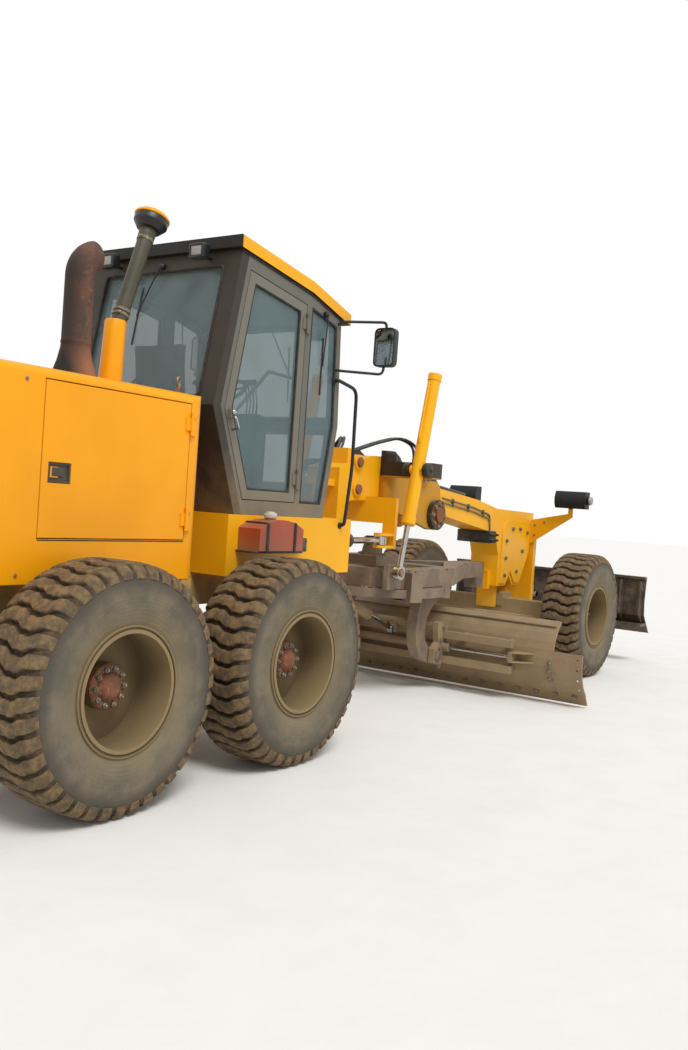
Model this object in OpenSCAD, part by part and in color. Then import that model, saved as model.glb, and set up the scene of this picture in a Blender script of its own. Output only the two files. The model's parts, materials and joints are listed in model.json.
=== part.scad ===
// Motor grader: tandem rear frame with hood and cab, hinged at a vertical pin to a gooseneck
// front frame that carries a steered axle, a drawbar with a turning circle and blade, and a
// front dozer blade. Lengths run forward along X from the middle of the tandem, widths along Y.

/* [Overall] */
// Front axle to the middle of the tandem
wheelbase = 6219; // [5900:1:6500]
// Between the two wheels of a tandem
tandem_pitch = 1538; // [1480:1:1600]
// Between the wheel planes of an axle
track_w = 2156; // [2120:1:2300]
// Middle of the tandem to the rearmost point of the hitch
rear_reach = 2120; // [2090:1:2260]
// Front axle to the foremost edge of the dozer blade
front_reach = 1860; // [1800:1:2000]
// Middle of the tandem to the articulation pin
hitch_x = 2380; // [2360:1:2420]

/* [Wheels] */
// Outside diameter over the lugs
tyre_d = 1348; // [1300:1:1360]
// Section width of a tyre
tyre_w = 445; // [400:1:450]
// Bars of tread round a tyre, an even number
tread_bars = 40; // [30:2:44]
// Depth of the grooves between the bars
tread_depth = 32; // [20:1:36]
// Diameter of the rim's bead seat
rim_d = 635; // [600:1:660]
// Height of a rim flange above the bead seat
flange_h = 29; // [20:1:35]
// Wall of the rim's barrel
rim_wall = 14; // [8:1:18]
// How far the rim's disc lies inboard of the wheel plane
disc_inset = 70; // [50:1:80]
// Thickness of the rim's disc
disc_t = 24; // [14:1:30]
// Depth of the groove beside the rim's lock ring
ring_groove = 8; // [4:1:10]
// Diameter of the hub
hub_d = 250; // [220:1:270]
// Diameter of the spindle that the hub turns on
spindle_d = 120; // [90:1:130]

/* [Frames] */
// Height of the rear frame's rails above the ground
rail_z = 960; // [940:1:980]
// Height of a rail
rail_h = 225; // [200:1:229]
// Middle line to the middle of a rail
rail_y = 340; // [320:1:380]
// Width of a rail
rail_w = 110; // [80:1:130]
// Width of the gooseneck beam
neck_w = 340; // [300:1:360]
// Diameter of the articulation pins
hitch_pin_d = 90; // [70:1:100]
// Thickness of a hitch ear
ear_t = 60; // [50:1:64]

/* [Hood] */
// Front face of the hood
hood_front = 250; // [230:1:260]
// Length of the hood
hood_len = 2200; // [2180:1:2210]
// Width of the hood
hood_w = 1500; // [1460:1:1540]
// Height of the hood
hood_h = 1150; // [1120:1:1180]
// Wall of the hood, also the thickness of its doors
hood_wall = 30; // [20:1:35]
// Radius of the hood's upright corners
hood_corner_r = 90; // [60:1:120]
// Radius along the hood's top edges
hood_edge_r = 50; // [36:1:54]

/* [Cab] */
// Outside width of the cab
cab_w = 1400; // [1380:1:1440]
// Height of the cab floor's top
floor_z = 1640; // [1630:1:1650]
// Wall of the cab, also the thickness of its doors
cab_wall = 45; // [40:1:55]
// Thickness of a pane
glass_t = 8; // [6:1:10]
// Thickness of the roof's edge
roof_t = 80; // [60:1:90]

/* [Blade] */
// Middle of the circle behind the front axle
circle_back = 2699; // [2680:1:2720]
// Outside diameter of the circle
circle_d = 1400; // [1360:1:1410]
// Length of the moldboard
blade_len = 3200; // [3000:1:3300]
// How far an end extension reaches past the moldboard
extension_w = 280; // [200:1:300]
// Height of the cutting edge above the ground
blade_z = 20; // [10:1:30]
// Thickness of the moldboard
blade_t = 22; // [18:1:25]
// Teeth inside the turning circle
circle_teeth = 60; // [48:1:72]

/* [Front blade] */
// Width of the dozer blade
dozer_w = 2600; // [2400:1:2640]
// Height of the dozer blade
dozer_h = 710; // [680:1:740]
// Height of the dozer blade's lower edge above the ground
dozer_z = 360; // [330:1:380]

/* [Hidden] */
$fn = 48;
running = 0.3;      // gap round a pin or shaft
clear = 6;          // gap between moving panels
front_axle_x = wheelbase;
front_x = wheelbase + front_reach;
rear_x = -rear_reach;
mid_x = (front_x + rear_x) / 2;
wheel_z = tyre_d / 2;
wheel_y = track_w / 2;
hood_z = rail_z + rail_h;
hood_rear = hood_front - hood_len;
hood_top = hood_z + hood_h;
circle_x = wheelbase - circle_back;

// Wheels: name, distance forward, side (1 left, -1 right)
wheels = [
    ["rear_left", -tandem_pitch / 2, 1],
    ["rear_right", -tandem_pitch / 2, -1],
    ["mid_left", tandem_pitch / 2, 1],
    ["mid_right", tandem_pitch / 2, -1],
    ["front_left", wheelbase, 1],
    ["front_right", wheelbase, -1],
];
sides = [["left", 1], ["right", -1]];

// Helpers
module centred() translate([-mid_x, 0, 0]) children();
module on_side(s) {
    if (s > 0) children();
    else mirror([0, 1, 0]) children();
}
module pair() {
    children();
    mirror([0, 1, 0]) children();
}
// An outline in X and Z, extruded across from y0 to y1
module across(outline, y0, y1)
    translate([0, y1, 0]) rotate([90, 0, 0]) linear_extrude(y1 - y0) polygon(outline);
// A round bar along Y, centred on its place
module bar_y(place, d, len)
    translate(place) rotate([90, 0, 0]) cylinder(d = d, h = len, center = true);
module bar_x(place, d, len)
    translate(place) rotate([0, 90, 0]) cylinder(d = d, h = len, center = true);
module bar_z(place, d, len)
    translate(place) cylinder(d = d, h = len, center = true);
// Turns Z to point from a to b, with a at the origin
module along(a, b) {
    d = b - a;
    translate(a) rotate([0, acos(d[2] / norm(d)), atan2(d[1], d[0])]) children();
}
// A round bar from a to b
module rod(a, b, d) along(a, b) cylinder(d = d, h = norm(b - a));
// A bent tube through points, with round corners
module tube_run(p, d) {
    for (i = [0 : len(p) - 2]) rod(p[i], p[i + 1], d);
    for (i = [1 : len(p) - 2]) translate(p[i]) sphere(d = d + 2);
}
module block(x0, x1, y0, y1, z0, z1)
    translate([x0, y0, z0]) cube([x1 - x0, y1 - y0, z1 - z0]);
// Moves each side of a convex outline inwards by d; the outline runs anticlockwise
function inward(p, d) = [for (i = [0 : len(p) - 1])
    let (a = p[(i + len(p) - 1) % len(p)], b = p[i], c = p[(i + 1) % len(p)],
         u = (b - a) / norm(b - a), v = (c - b) / norm(c - b),
         m = [-u[1], u[0]], n = [-v[1], v[0]])
    b + d * (m + n) / (1 + m * n)];

// Wheels
// Share of each pitch that a tread bar takes
bar_share = 0.62;
// A point round the wheel's axis, counted in turns from the ground
function round_wheel(r, y, turn) = [r * sin(360 * turn), y, -r * cos(360 * turn)];
// Tyre: a closed mesh. Round each side run four corners per bar along the tread's edge, one per
// bar on the shoulder, and one per two bars on the side wall and at the bead.
module tyre() {
    n = tread_bars;
    half = tyre_w / 2;
    low = tyre_d / 2 - tread_depth;
    // the middle of each bar's flat face lies on the tyre's diameter
    top = tyre_d / 2 / cos(180 * bar_share / n);
    bar = [[-bar_share / 2, low], [-bar_share / 2, top], [bar_share / 2, top], [bar_share / 2, low]];
    // radius, distance from the wheel plane and corners of each ring inside the tread
    rings = [
        [tyre_d / 2 - 50, half - 8, n],
        [rim_d / 2 + 0.5 * (tyre_d - rim_d) / 2, half, n / 2],
        [(rim_d / 2 + running) / cos(360 / n), rim_edge - 19, n / 2]];
    corners = [for (s = [-1, 1]) each concat(
        [for (k = [0 : n - 1]) for (e = bar) round_wheel(e[1], s * (half - 38), (k + e[0]) / n)],
        [for (r = rings) for (k = [0 : r[2] - 1]) round_wheel(r[0], s * r[1], k / r[2])])];
    count = 6 * n;
    // one side's faces, from its first corner f
    function side_faces(f) = concat(
        [for (k = [0 : n - 1]) let (e = f + 4 * k, next = f + (4 * k + 4) % (4 * n),
            d = f + 4 * n + k, d2 = f + 4 * n + (k + 1) % n)
            each [[d, e, e + 1], [d, e + 1, e + 2], [d, e + 2, e + 3], [d, e + 3, next], [d, next, d2]]],
        [for (k = [0 : n / 2 - 1]) let (k2 = (k + 1) % (n / 2), c = f + 5 * n + k, c2 = f + 5 * n + k2,
            d = f + 4 * n + 2 * k, a = c + n / 2, a2 = c2 + n / 2)
            each [[c, d, d + 1], [c, d + 1, c2], [c2, d + 1, f + 4 * n + 2 * k2], [a, c, c2], [a, c2, a2]]]);
    tread = [for (e = [0 : 4 * n - 1]) let (e2 = (e + 1) % (4 * n)) [e, e2, count + e2, count + e]];
    inside = [for (k = [0 : n / 2 - 1]) let (a = 5 * n + n / 2 + k, a2 = 5 * n + n / 2 + (k + 1) % (n / 2))
        [a, count + a, count + a2, a2]];
    color("dimgray") polyhedron(corners, concat(
        [for (t = side_faces(0)) [t[2], t[1], t[0]]], side_faces(count), tread, inside));
}
hub_len = 150;
// Outer face of a rim flange from the wheel plane
rim_edge = tyre_w / 2 - 22;
module rim() {
    seat = rim_d / 2;
    edge = rim_edge;
    color("tan") rotate([-90, 0, 0]) difference() {
        union() {
            rotate_extrude($fn = 96) polygon([
                [seat - rim_wall, -edge], [seat + flange_h, -edge], [seat + flange_h, -edge + 12],
                [seat, -edge + 18], [seat, edge - 18], [seat + flange_h, edge - 12],
                [seat + flange_h, edge], [seat + flange_h / 2, edge],
                [seat + flange_h / 2, edge - ring_groove], [seat + flange_h / 4, edge - ring_groove],
                [seat + flange_h / 4, edge], [seat - rim_wall, edge]]);
            translate([0, 0, -disc_inset]) cylinder(r = seat - rim_wall + 2, h = disc_t);
            translate([0, 0, -disc_inset - 60]) cylinder(d = hub_d, h = hub_len);
        }
        translate([0, 0, -disc_inset - 61])
            cylinder(d = spindle_d + 2 * running, h = hub_len - 30);
    }
}
module at_wheel(w)
    on_side(w[2]) translate([w[1], wheel_y, wheel_z]) children();
// End of a spindle inside the hub, measured from the wheel plane
spindle_end = -disc_inset - 60 + hub_len - 32;

// Rear frame
case_y0 = 600;
case_y1 = wheel_y - tyre_w / 2 - 55;
case_r = 200;
axle_r = 140;
rail_top = rail_z + rail_h;
ear_r = 130;
ear_low_z = 1150;
ear_high_z = 1800;
hitch_wall_x = hitch_x - ear_r - 130;
module rear_frame() {
    color("orange") {
        difference() {
            union() {
                pair() {
                    block(hood_rear + 20, hitch_wall_x - 60, rail_y - rail_w / 2, rail_y + rail_w / 2,
                        rail_z, rail_top);
                    // brackets that carry the hood and the cab base
                    for (x = [hood_rear + 60, -650, hood_front - 120, ladder_x - 95])
                        block(x, x + 90, rail_y + rail_w / 2 - 1, hood_w / 2 - 5,
                            rail_top - 70, rail_top);
                }
                for (x = [hood_rear + 20, -1100, 500, 1350])
                    block(x, x + 120, -rail_y, rail_y, rail_z + 20, rail_top - 20);
                // rear plate and hitch tongue
                block(hood_rear, hood_rear + rear_plate_t, -520, 520, rail_z - 120, rail_top);
                block(rear_x + tongue_r, hood_rear + 1, -tongue_r, tongue_r, tongue_z,
                    tongue_z + tongue_t);
                bar_z([rear_x + tongue_r, 0, tongue_z + tongue_t / 2], 2 * tongue_r, tongue_t);
                for (y = [-tongue_r, tongue_r - 20]) across([[hood_rear + 1, tongue_z + tongue_t - 1],
                    [hood_rear + 1, rail_top - 60], [rear_x + 2 * tongue_r, tongue_z + tongue_t - 1]],
                    y, y + 20);
                // front wall of the hitch with its ears
                block(hitch_wall_x - 62, hitch_wall_x, -400, 400, rail_z, rail_top);
                block(hitch_wall_x - 62, hitch_wall_x, -300, 300, rail_top - 1, ear_high_z + ear_t);
                for (z = [ear_low_z, ear_high_z]) {
                    bar_z([hitch_x, 0, z + ear_t / 2], 2 * ear_r, ear_t);
                    block(hitch_wall_x - 1, hitch_x, -ear_r, ear_r, z, z + ear_t);
                }
                // brackets of the articulation cylinders
                pair() turn_cheeks([turn_a_x, turn_a_y, turn_z], 1640);
                pair() block(1580, 1645, rail_y, turn_a_y + cheek_r, rail_top - 71,
                    turn_z + turn_eye_h / 2 + clear + turn_cheek_t);
            }
            bar_z([hitch_x, 0, 1500], hitch_pin_d + 2 * running, 2000);
            bar_z([rear_x + tongue_r, 0, tongue_z + tongue_t / 2], tow_pin_d, 2 * tongue_t);
            // bolt holes for a tool behind
            for (y = [-1, 1]) for (z = [-1, 1]) bar_x([hood_rear, y * tool_bolts_y / 2,
                tool_z + z * tool_bolts_z / 2], tool_bolt_d, 4 * rear_plate_t);
            pair() bar_z([turn_a_x, turn_a_y, turn_z], turn_pin_d + 2 * running, 2 * turn_eye_h);
        }
    }
}
rear_plate_t = 25;
tongue_r = 60;
tongue_t = 50;
tongue_z = rail_z - 100;
tow_pin_d = 50;
tool_bolts_y = 920;
tool_bolts_z = 160;
tool_bolt_d = 26;
tool_z = rail_z + 60;

// Articulation cylinders: barrel pin on the rear frame, rod eye between cheeks on the front frame
turn_a_x = 1750;
turn_a_y = 480;
turn_f_x = 2950;
turn_f_y = 430;
turn_z = 1420;
turn_pin_d = 50;
turn_eye_d = 110;
turn_eye_h = 70;
turn_barrel_d = 110;
turn_rod_d = 55;
turn_cheek_t = 24;
cheek_r = 63;
// Two cheeks round an eye, reaching to x = to_x
module turn_cheeks(place, to_x)
    for (z = [turn_eye_h / 2 + clear, -turn_eye_h / 2 - clear - turn_cheek_t])
        translate([0, 0, place[2] + z]) {
            translate([place[0], place[1], 0]) cylinder(r = cheek_r, h = turn_cheek_t);
            block(min(place[0], to_x), max(place[0], to_x), place[1] - cheek_r, place[1] + cheek_r,
                0, turn_cheek_t);
        }
module turn_barrel(s) {
    a = [turn_a_x, s * turn_a_y, turn_z];
    f = [turn_f_x, s * turn_f_y, turn_z];
    reach = norm(f - a);
    color("dimgray") along(a, f) difference() {
        union() {
            translate([0, 0, cheek_r + 12]) cylinder(d = turn_barrel_d, h = 0.55 * reach - cheek_r - 12);
            translate([0, 0, 0.55 * reach - 60]) cylinder(d = turn_barrel_d + 16, h = 45);
            rotate([0, 90, 0]) cylinder(d = turn_eye_d, h = turn_eye_h, center = true);
            translate([0, 0, 35]) cylinder(d = 70, h = cheek_r - 10);
            // the pin, held in both cheeks
            rotate([0, 90, 0]) cylinder(d = turn_pin_d, h = turn_eye_h + 2 * (clear + turn_cheek_t),
                center = true);
        }
        translate([0, 0, 100]) cylinder(d = turn_barrel_d - 24, h = 0.55 * reach - 140);
        translate([0, 0, 0.55 * reach - 45]) cylinder(d = turn_rod_d + 2 * running, h = 60);
    }
}
module turn_rod(s) {
    a = [turn_a_x, s * turn_a_y, turn_z];
    f = [turn_f_x, s * turn_f_y, turn_z];
    reach = norm(f - a);
    color("silver") along(a, f) difference() {
        union() {
            translate([0, 0, 0.3 * reach]) cylinder(d = turn_rod_d, h = 0.7 * reach - 30);
            translate([0, 0, 0.3 * reach]) cylinder(d = turn_barrel_d - 24 - 2 * running, h = 40);
            translate([0, 0, reach]) rotate([0, 90, 0])
                cylinder(d = turn_eye_d, h = turn_eye_h, center = true);
        }
        translate([0, 0, reach]) rotate([0, 90, 0])
            cylinder(d = turn_pin_d, h = 2 * turn_eye_h, center = true);
    }
}

// Rear axle with its two tandem cases and the wheel spindles
module rear_axle() {
    color("dimgray") {
        bar_y([0, 0, wheel_z], 2 * axle_r, 2 * case_y0 + 4);
        bar_y([0, 0, wheel_z], 400, 420);
        // saddle blocks up to the rails
        pair() block(-150, 150, rail_y - 90, rail_y + 90, wheel_z, rail_z);
        pair() {
            block(-tandem_pitch / 2, tandem_pitch / 2, case_y0, case_y1, wheel_z - case_r,
                wheel_z + case_r);
            for (x = [-1, 1] * tandem_pitch / 2) {
                bar_y([x, (case_y0 + case_y1) / 2, wheel_z], 2 * case_r, case_y1 - case_y0);
                translate([x, case_y1 - 1, wheel_z]) rotate([-90, 0, 0])
                    cylinder(d = spindle_d, h = wheel_y + spindle_end - case_y1 + 1);
            }
        }
    }
}
module engine_block()
    color("gray") block(-1450, -250, -300, 300, rail_top, 1950);

// Hood: a shell open below, with a door opening on each side and the grille opening behind
hood_door_x0 = hood_front - 1250;
hood_door_x1 = hood_front - 130;
hood_door_z0 = hood_z + 240;
hood_door_z1 = hood_top - 60;
grille_y = 560;
grille_z0 = hood_z + 130;
grille_z1 = hood_top - 160;
// A rectangle with round corners
module round_rect(x0, x1, y0, y1, r) {
    translate([x0 + r, y0]) square([x1 - x0 - 2 * r, y1 - y0]);
    translate([x0, y0 + r]) square([x1 - x0, y1 - y0 - 2 * r]);
    for (x = [x0 + r, x1 - r]) for (y = [y0 + r, y1 - r]) translate([x, y]) circle(r = r);
}
// The hood's outer form, moved in by d, with round upright corners and round top edges
module hood_form(d) intersection() {
    translate([0, 0, hood_z - d]) linear_extrude(hood_h)
        round_rect(hood_rear + d, hood_front - d, -hood_w / 2 + d, hood_w / 2 - d, hood_corner_r - d);
    translate([hood_rear, 0, 0]) rotate([90, 0, 90]) linear_extrude(hood_len)
        round_rect(-hood_w / 2 + d, hood_w / 2 - d, hood_z - 4 * hood_edge_r, hood_top - d,
            hood_edge_r - d);
}
module hood_outline_shell()
    difference() {
        hood_form(0);
        hood_form(hood_wall);
    }
hinge_off = 14;
knuckle_d = 24;
pin_d = 12;
knuckle_len = 80;
lug_len = 30;
// Hinges: heights of the knuckles' middles on the hood and on the cab
hood_hinges = [hood_door_z0 + 130, hood_door_z1 - 130];
cab_hinges = [floor_z + 230, floor_z + 1350];
// Pin with its two lugs, on the frame's side; the frame lies towards +X
module hinge_pin(h) {
    for (s = [-1, 1]) translate([0, 0, h + s * (knuckle_len + lug_len + 1) / 2]) {
        cylinder(d = knuckle_d, h = lug_len, center = true);
        translate([0, -hinge_off, -lug_len / 2]) cube([38, 10, lug_len]);
    }
    translate([0, 0, h]) cylinder(d = pin_d, h = knuckle_len + 2 * lug_len, center = true);
}
// Barrel with its leaf, on the door's side; the door lies towards -X
module hinge_barrel(h)
    translate([0, 0, h - knuckle_len / 2]) difference() {
        union() {
            cylinder(d = knuckle_d, h = knuckle_len);
            translate([-45, -hinge_off, 0]) cube([45, 8, knuckle_len]);
        }
        translate([0, 0, -1]) cylinder(d = pin_d + 2 * running, h = knuckle_len + 2);
    }
module hood() {
    color("orange") {
        difference() {
            hood_outline_shell();
            pair() block(hood_door_x0, hood_door_x1, hood_w / 2 - hood_wall - 1, hood_w / 2 + 1,
                hood_door_z0, hood_door_z1);
            block(hood_rear - 1, hood_rear + hood_wall + 1, -grille_y, grille_y, grille_z0,
                grille_z1);
        }
        pair() for (h = hood_hinges)
            translate([hood_door_x1, hood_w / 2 + hinge_off, 0]) hinge_pin(h);
    }
}
// Latch in a square recess near the door's rear edge
latch_x = hood_door_x0 + 50;
latch_w = 155;
latch_z = hood_z + 540;
latch_h = 112;
latch_depth = 20;
module hood_door() {
    color("orange") {
        difference() {
            block(hood_door_x0 + clear, hood_door_x1 - clear, hood_w / 2 - hood_wall, hood_w / 2,
                hood_door_z0 + clear, hood_door_z1 - clear);
            block(latch_x, latch_x + latch_w, hood_w / 2 - latch_depth, hood_w / 2 + 1, latch_z,
                latch_z + latch_h);
        }
        block(latch_x + 20, latch_x + 70, hood_w / 2 - latch_depth - 1, hood_w / 2 - 4, latch_z + 30,
            latch_z + latch_h - 24);
        for (h = hood_hinges) translate([hood_door_x1, hood_w / 2 + hinge_off, 0]) hinge_barrel(h);
    }
}
slat_pitch = 70;
module rear_grille() {
    color("dimgray") {
        difference() {
            block(hood_rear, hood_rear + hood_wall, -grille_y, grille_y, grille_z0, grille_z1);
            block(hood_rear - 1, hood_rear + hood_wall + 1, -grille_y + 40, grille_y - 40,
                grille_z0 + 40, grille_z1 - 40);
        }
        for (z = [grille_z0 + 70 : slat_pitch : grille_z1 - 50])
            block(hood_rear + 4, hood_rear + hood_wall - 4, -grille_y + 39, grille_y - 39, z, z + 14);
    }
}

// Stacks
stack_y = -350;
intake_x = -190;
intake_base_d = 140;
intake_d = 96;
intake_lean = 18;
intake_base_h = 425;
intake_tube_len = 743;
intake_cap_d = 228;
module intake_stack()
    translate([intake_x, stack_y, hood_top]) {
        color("orange") {
            cylinder(d = intake_base_d + 60, h = 12);
            cylinder(d1 = intake_base_d, d2 = intake_base_d - 16, h = intake_base_h);
        }
        // leaning tube with two clamps under a mushroom cap
        color("black") translate([30, 0, intake_base_h - 30]) rotate([0, intake_lean, 0]) {
            cylinder(d = intake_d, h = intake_tube_len);
            for (h = [0.1, 0.86]) translate([0, 0, h * intake_tube_len])
                cylinder(d = intake_d + 14, h = 22);
            translate([0, 0, intake_tube_len - 66]) rotate_extrude() polygon([
                [0, 0], [intake_d / 2 + 6, 0], [intake_cap_d / 2 - 16, 34], [intake_cap_d / 2, 52],
                [intake_cap_d / 2, 82], [intake_cap_d / 2 - 12, 104], [intake_cap_d / 3, 126],
                [0, 140]]);
        }
    }
exhaust_x = -480;
exhaust_d = 172;
exhaust_wall = 10;
exhaust_rise = 620;
exhaust_bend = 150;
module exhaust()
    color("saddlebrown") translate([exhaust_x, stack_y, hood_top]) {
        difference() {
            union() {
                cylinder(d1 = exhaust_d + 90, d2 = exhaust_d, h = 200);
                cylinder(d = exhaust_d, h = exhaust_rise);
            }
            translate([0, 0, 20]) cylinder(d = exhaust_d - 2 * exhaust_wall, h = exhaust_rise);
        }
        translate([-exhaust_bend, 0, exhaust_rise]) rotate([90, 0, 0])
            rotate_extrude(angle = 70) translate([exhaust_bend, 0]) difference() {
                circle(d = exhaust_d);
                circle(d = exhaust_d - 2 * exhaust_wall);
            }
    }

// Cab: a shell of flat walls on one side outline, in X and Z, anticlockwise seen from the right
cab_side = [
    [640, floor_z - 40], [1665, floor_z - 40], [1780, 2300], [1735, 3105], [1345, 3220], [560, 3345],
    [365, 2300]];
cab_in = inward(cab_side, cab_wall);
door_rear = [[712, floor_z + 60], [480, 2290], [650, 3190]];
door_front_x = 1300;
door_side = [
    [door_rear[0][0], floor_z + 60], [door_front_x, floor_z + 60], [door_front_x, 3130],
    [650, 3230], [475, 2290]];
side_window = [[1360, floor_z + 60], [1625, floor_z + 60], [1725, 2300], [1690, 3040], [1360, 3125]];
rear_window_w = 1120;
front_window_w = 1240;
module cab_frame() {
    half = cab_w / 2;
    color("gray") {
        difference() {
            across(cab_side, -half, half);
            across(cab_in, -half + cab_wall, half - cab_wall);
            pair() across(door_side, half - cab_wall - 1, half + 1);
            pair() across(side_window, half - cab_wall - 1, half + 1);
            // windscreen in two panes and the rear window
            block(1600, 1900, -front_window_w / 2, front_window_w / 2, 2360, 3040);
            block(1600, 1900, -front_window_w / 2, front_window_w / 2, floor_z + 60, 2240);
            block(300, 640, -rear_window_w / 2, rear_window_w / 2, 2360, 3240);
        }
        pair() for (h = cab_hinges)
            translate([door_front_x, half + hinge_off, 0]) hinge_pin(h);
    }
}
// Points on the front and rear outlines at a height
function front_at(z) = z > 2300 ? 1780 - 45 * (z - 2300) / 805 : 1665 + 115 * (z - 1600) / 700;
function rear_at(z) = z > 2300 ? 365 + 195 * (z - 2300) / 1045 : 640 - 275 * (z - 1600) / 700;
// A pane across the cab between two heights, set in by d from the outline at x_of
module cab_glass() {
    seat = cab_wall / 2;
    half = cab_w / 2;
    color("lightblue", 0.5) {
        for (z = [[2360, 3040], [floor_z + 60, 2240]])
            across([[front_at(z[0]) - seat, z[0]], [front_at(z[0]) - seat + glass_t, z[0]],
                [front_at(z[1]) - seat + glass_t, z[1]], [front_at(z[1]) - seat, z[1]]],
                -front_window_w / 2, front_window_w / 2);
        across([[rear_at(2360) + seat, 2360], [rear_at(2360) + seat + glass_t, 2360],
            [rear_at(3240) + seat + glass_t, 3240], [rear_at(3240) + seat, 3240]],
            -rear_window_w / 2, rear_window_w / 2);
        pair() across(side_window, half - seat, half - seat + glass_t);
    }
}
door_in = inward(door_side, clear);
door_pane = inward(door_side, 70);
module cab_door() {
    half = cab_w / 2;
    color("gray") {
        difference() {
            across(door_in, half - cab_wall, half);
            across(door_pane, half - cab_wall - 1, half + 1);
        }
        // latch outside and a bent grab bar inside the glass
        block(door_side[4][0] + 36, door_side[4][0] + 76, half - 1, half + 32, 2225, 2285);
        tube_run([[door_side[4][0] + 85, half - cab_wall + 20, 2175],
            [door_side[4][0] + 95, half - cab_wall - 28, 2190], [1000, half - cab_wall - 28, 2605],
            [door_front_x - 50, half - cab_wall - 28, 2599],
            [door_front_x - 35, half - cab_wall + 20, 2598]], 24);
        for (h = cab_hinges) translate([door_front_x, half + hinge_off, 0]) hinge_barrel(h);
    }
}
module door_glass()
    color("lightblue", 0.5) across(door_pane, cab_w / 2 - cab_wall / 2, cab_w / 2 - cab_wall / 2 + glass_t);
roof_w = cab_w + 40;
module cab_roof()
    color("gold") across([
        [cab_side[5][0] - 40, cab_side[5][1] + 6], cab_side[5], cab_side[4], cab_side[3],
        [cab_side[3][0] + 100, cab_side[3][1] - 28], [cab_side[3][0] + 100, cab_side[3][1] - 28 + roof_t],
        [cab_side[4][0], cab_side[4][1] + roof_t], [cab_side[5][0] - 40, cab_side[5][1] + roof_t + 6]],
        -roof_w / 2, roof_w / 2);

// Base under the cab, with a step ladder on the left
base_x0 = 590;
base_x1 = hitch_wall_x - 62;
ladder_x = 1560;
ladder_w = 310;
module cab_base() {
    color("gold") {
        difference() {
            block(base_x0, base_x1, -cab_w / 2, cab_w / 2, rail_top, floor_z - 40);
            block(base_x0 + 60, base_x1 + 1, -cab_w / 2 + 40, cab_w / 2 - 40, rail_top - 1,
                floor_z - 80);
        }
        for (x = [ladder_x, ladder_x + ladder_w - 30])
            block(x, x + 30, cab_w / 2, cab_w / 2 + 150, 620, floor_z - 60);
        for (z = [640, 960, 1280])
            block(ladder_x, ladder_x + ladder_w, cab_w / 2, cab_w / 2 + 150, z, z + 25);
    }
}
// Fluid tank on the right, with a domed top and a filler
tank_x0 = 700;
tank_len = 480;
tank_z = 1368;
tank_h = 150;
tank_dome = 62;
tank_w = 190;
module fluid_tank() {
    // the dome is an arc over the tank's length
    r = (tank_len * tank_len / 4 + tank_dome * tank_dome) / (2 * tank_dome);
    color("brown") translate([tank_x0, -cab_w / 2 - tank_w, tank_z]) {
        intersection() {
            cube([tank_len, tank_w, tank_h + tank_dome]);
            translate([tank_len / 2, 0, tank_h + tank_dome - r]) rotate([-90, 0, 0])
                cylinder(r = r, h = tank_w);
        }
        translate([tank_len * 0.45, tank_w / 2, tank_h]) cylinder(d = 76, h = tank_dome + 34);
    }
}
module seat() {
    color("black") {
        block(640, 1060, -250, 250, floor_z + 380, floor_z + 500);
        across([[560, floor_z + 480], [680, floor_z + 480], [640, floor_z + 1130], [540, floor_z + 1130]],
            -240, 240);
        block(720, 980, -180, 180, cab_floor_top, floor_z + 381);
    }
}
cab_floor_top = floor_z - 40 + cab_wall;
module console() {
    color("black") {
        block(1400, 1520, -220, 220, cab_floor_top, floor_z + 700);
        along([1400, 0, floor_z + 640], [1240, 0, floor_z + 860]) {
            cylinder(d = 60, h = 270);
            translate([0, 0, 262]) rotate_extrude() translate([180, 0]) circle(d = 30, $fn = 24);
            translate([0, 0, 262]) for (a = [0, 120, 240]) rotate([0, 0, a])
                translate([0, -12, -6]) cube([178, 24, 12]);
        }
    }
}
// Work lamps on the rear header and under the roof's front edge
work_lamp_w = 130;
work_lamp_h = 100;
work_lamp_y = 425;
module work_lamps() {
    rear_x = rear_at(3300);
    color("black") pair() {
        block(rear_x - 150, rear_x - 50, work_lamp_y - work_lamp_w / 2, work_lamp_y + work_lamp_w / 2,
            3270, 3270 + work_lamp_h);
        across([[rear_x - 51, 3285], [rear_at(3285), 3285], [rear_at(3305), 3305], [rear_x - 51, 3305]],
            work_lamp_y - 25, work_lamp_y + 25);
        block(cab_side[3][0] + 20, cab_side[3][0] + 100, work_lamp_y - work_lamp_w / 2,
            work_lamp_y + work_lamp_w / 2, cab_side[3][1] - 40 - work_lamp_h, cab_side[3][1] - 40);
        block(cab_side[3][0] + 40, cab_side[3][0] + 70, work_lamp_y - 20, work_lamp_y + 20,
            cab_side[3][1] - 41, cab_side[3][1] - 20);
    }
}
rail_out = 40;
module cab_trim() {
    side = cab_w / 2;
    out = side + rail_out;
    color("black") pair() {
        // mirror on two bracket tubes
        block(1990, 2030, side + 100, side + 340, 2790, 3080);
        for (z = [[2900, 2840], [3060, 3040]])
            tube_run([[1700, side, z[0]], [1700, side + 40, z[0]], [2010, side + 200, z[1]]], 24);
        // handrail in front of the front post
        tube_run([[1700, side, 2640], [1700, out, 2640], [2000, out, 2570],
            [1900, out, floor_z - 90], [1900, side, floor_z - 90]], 30);
    }
    work_lamps();
}

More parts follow.
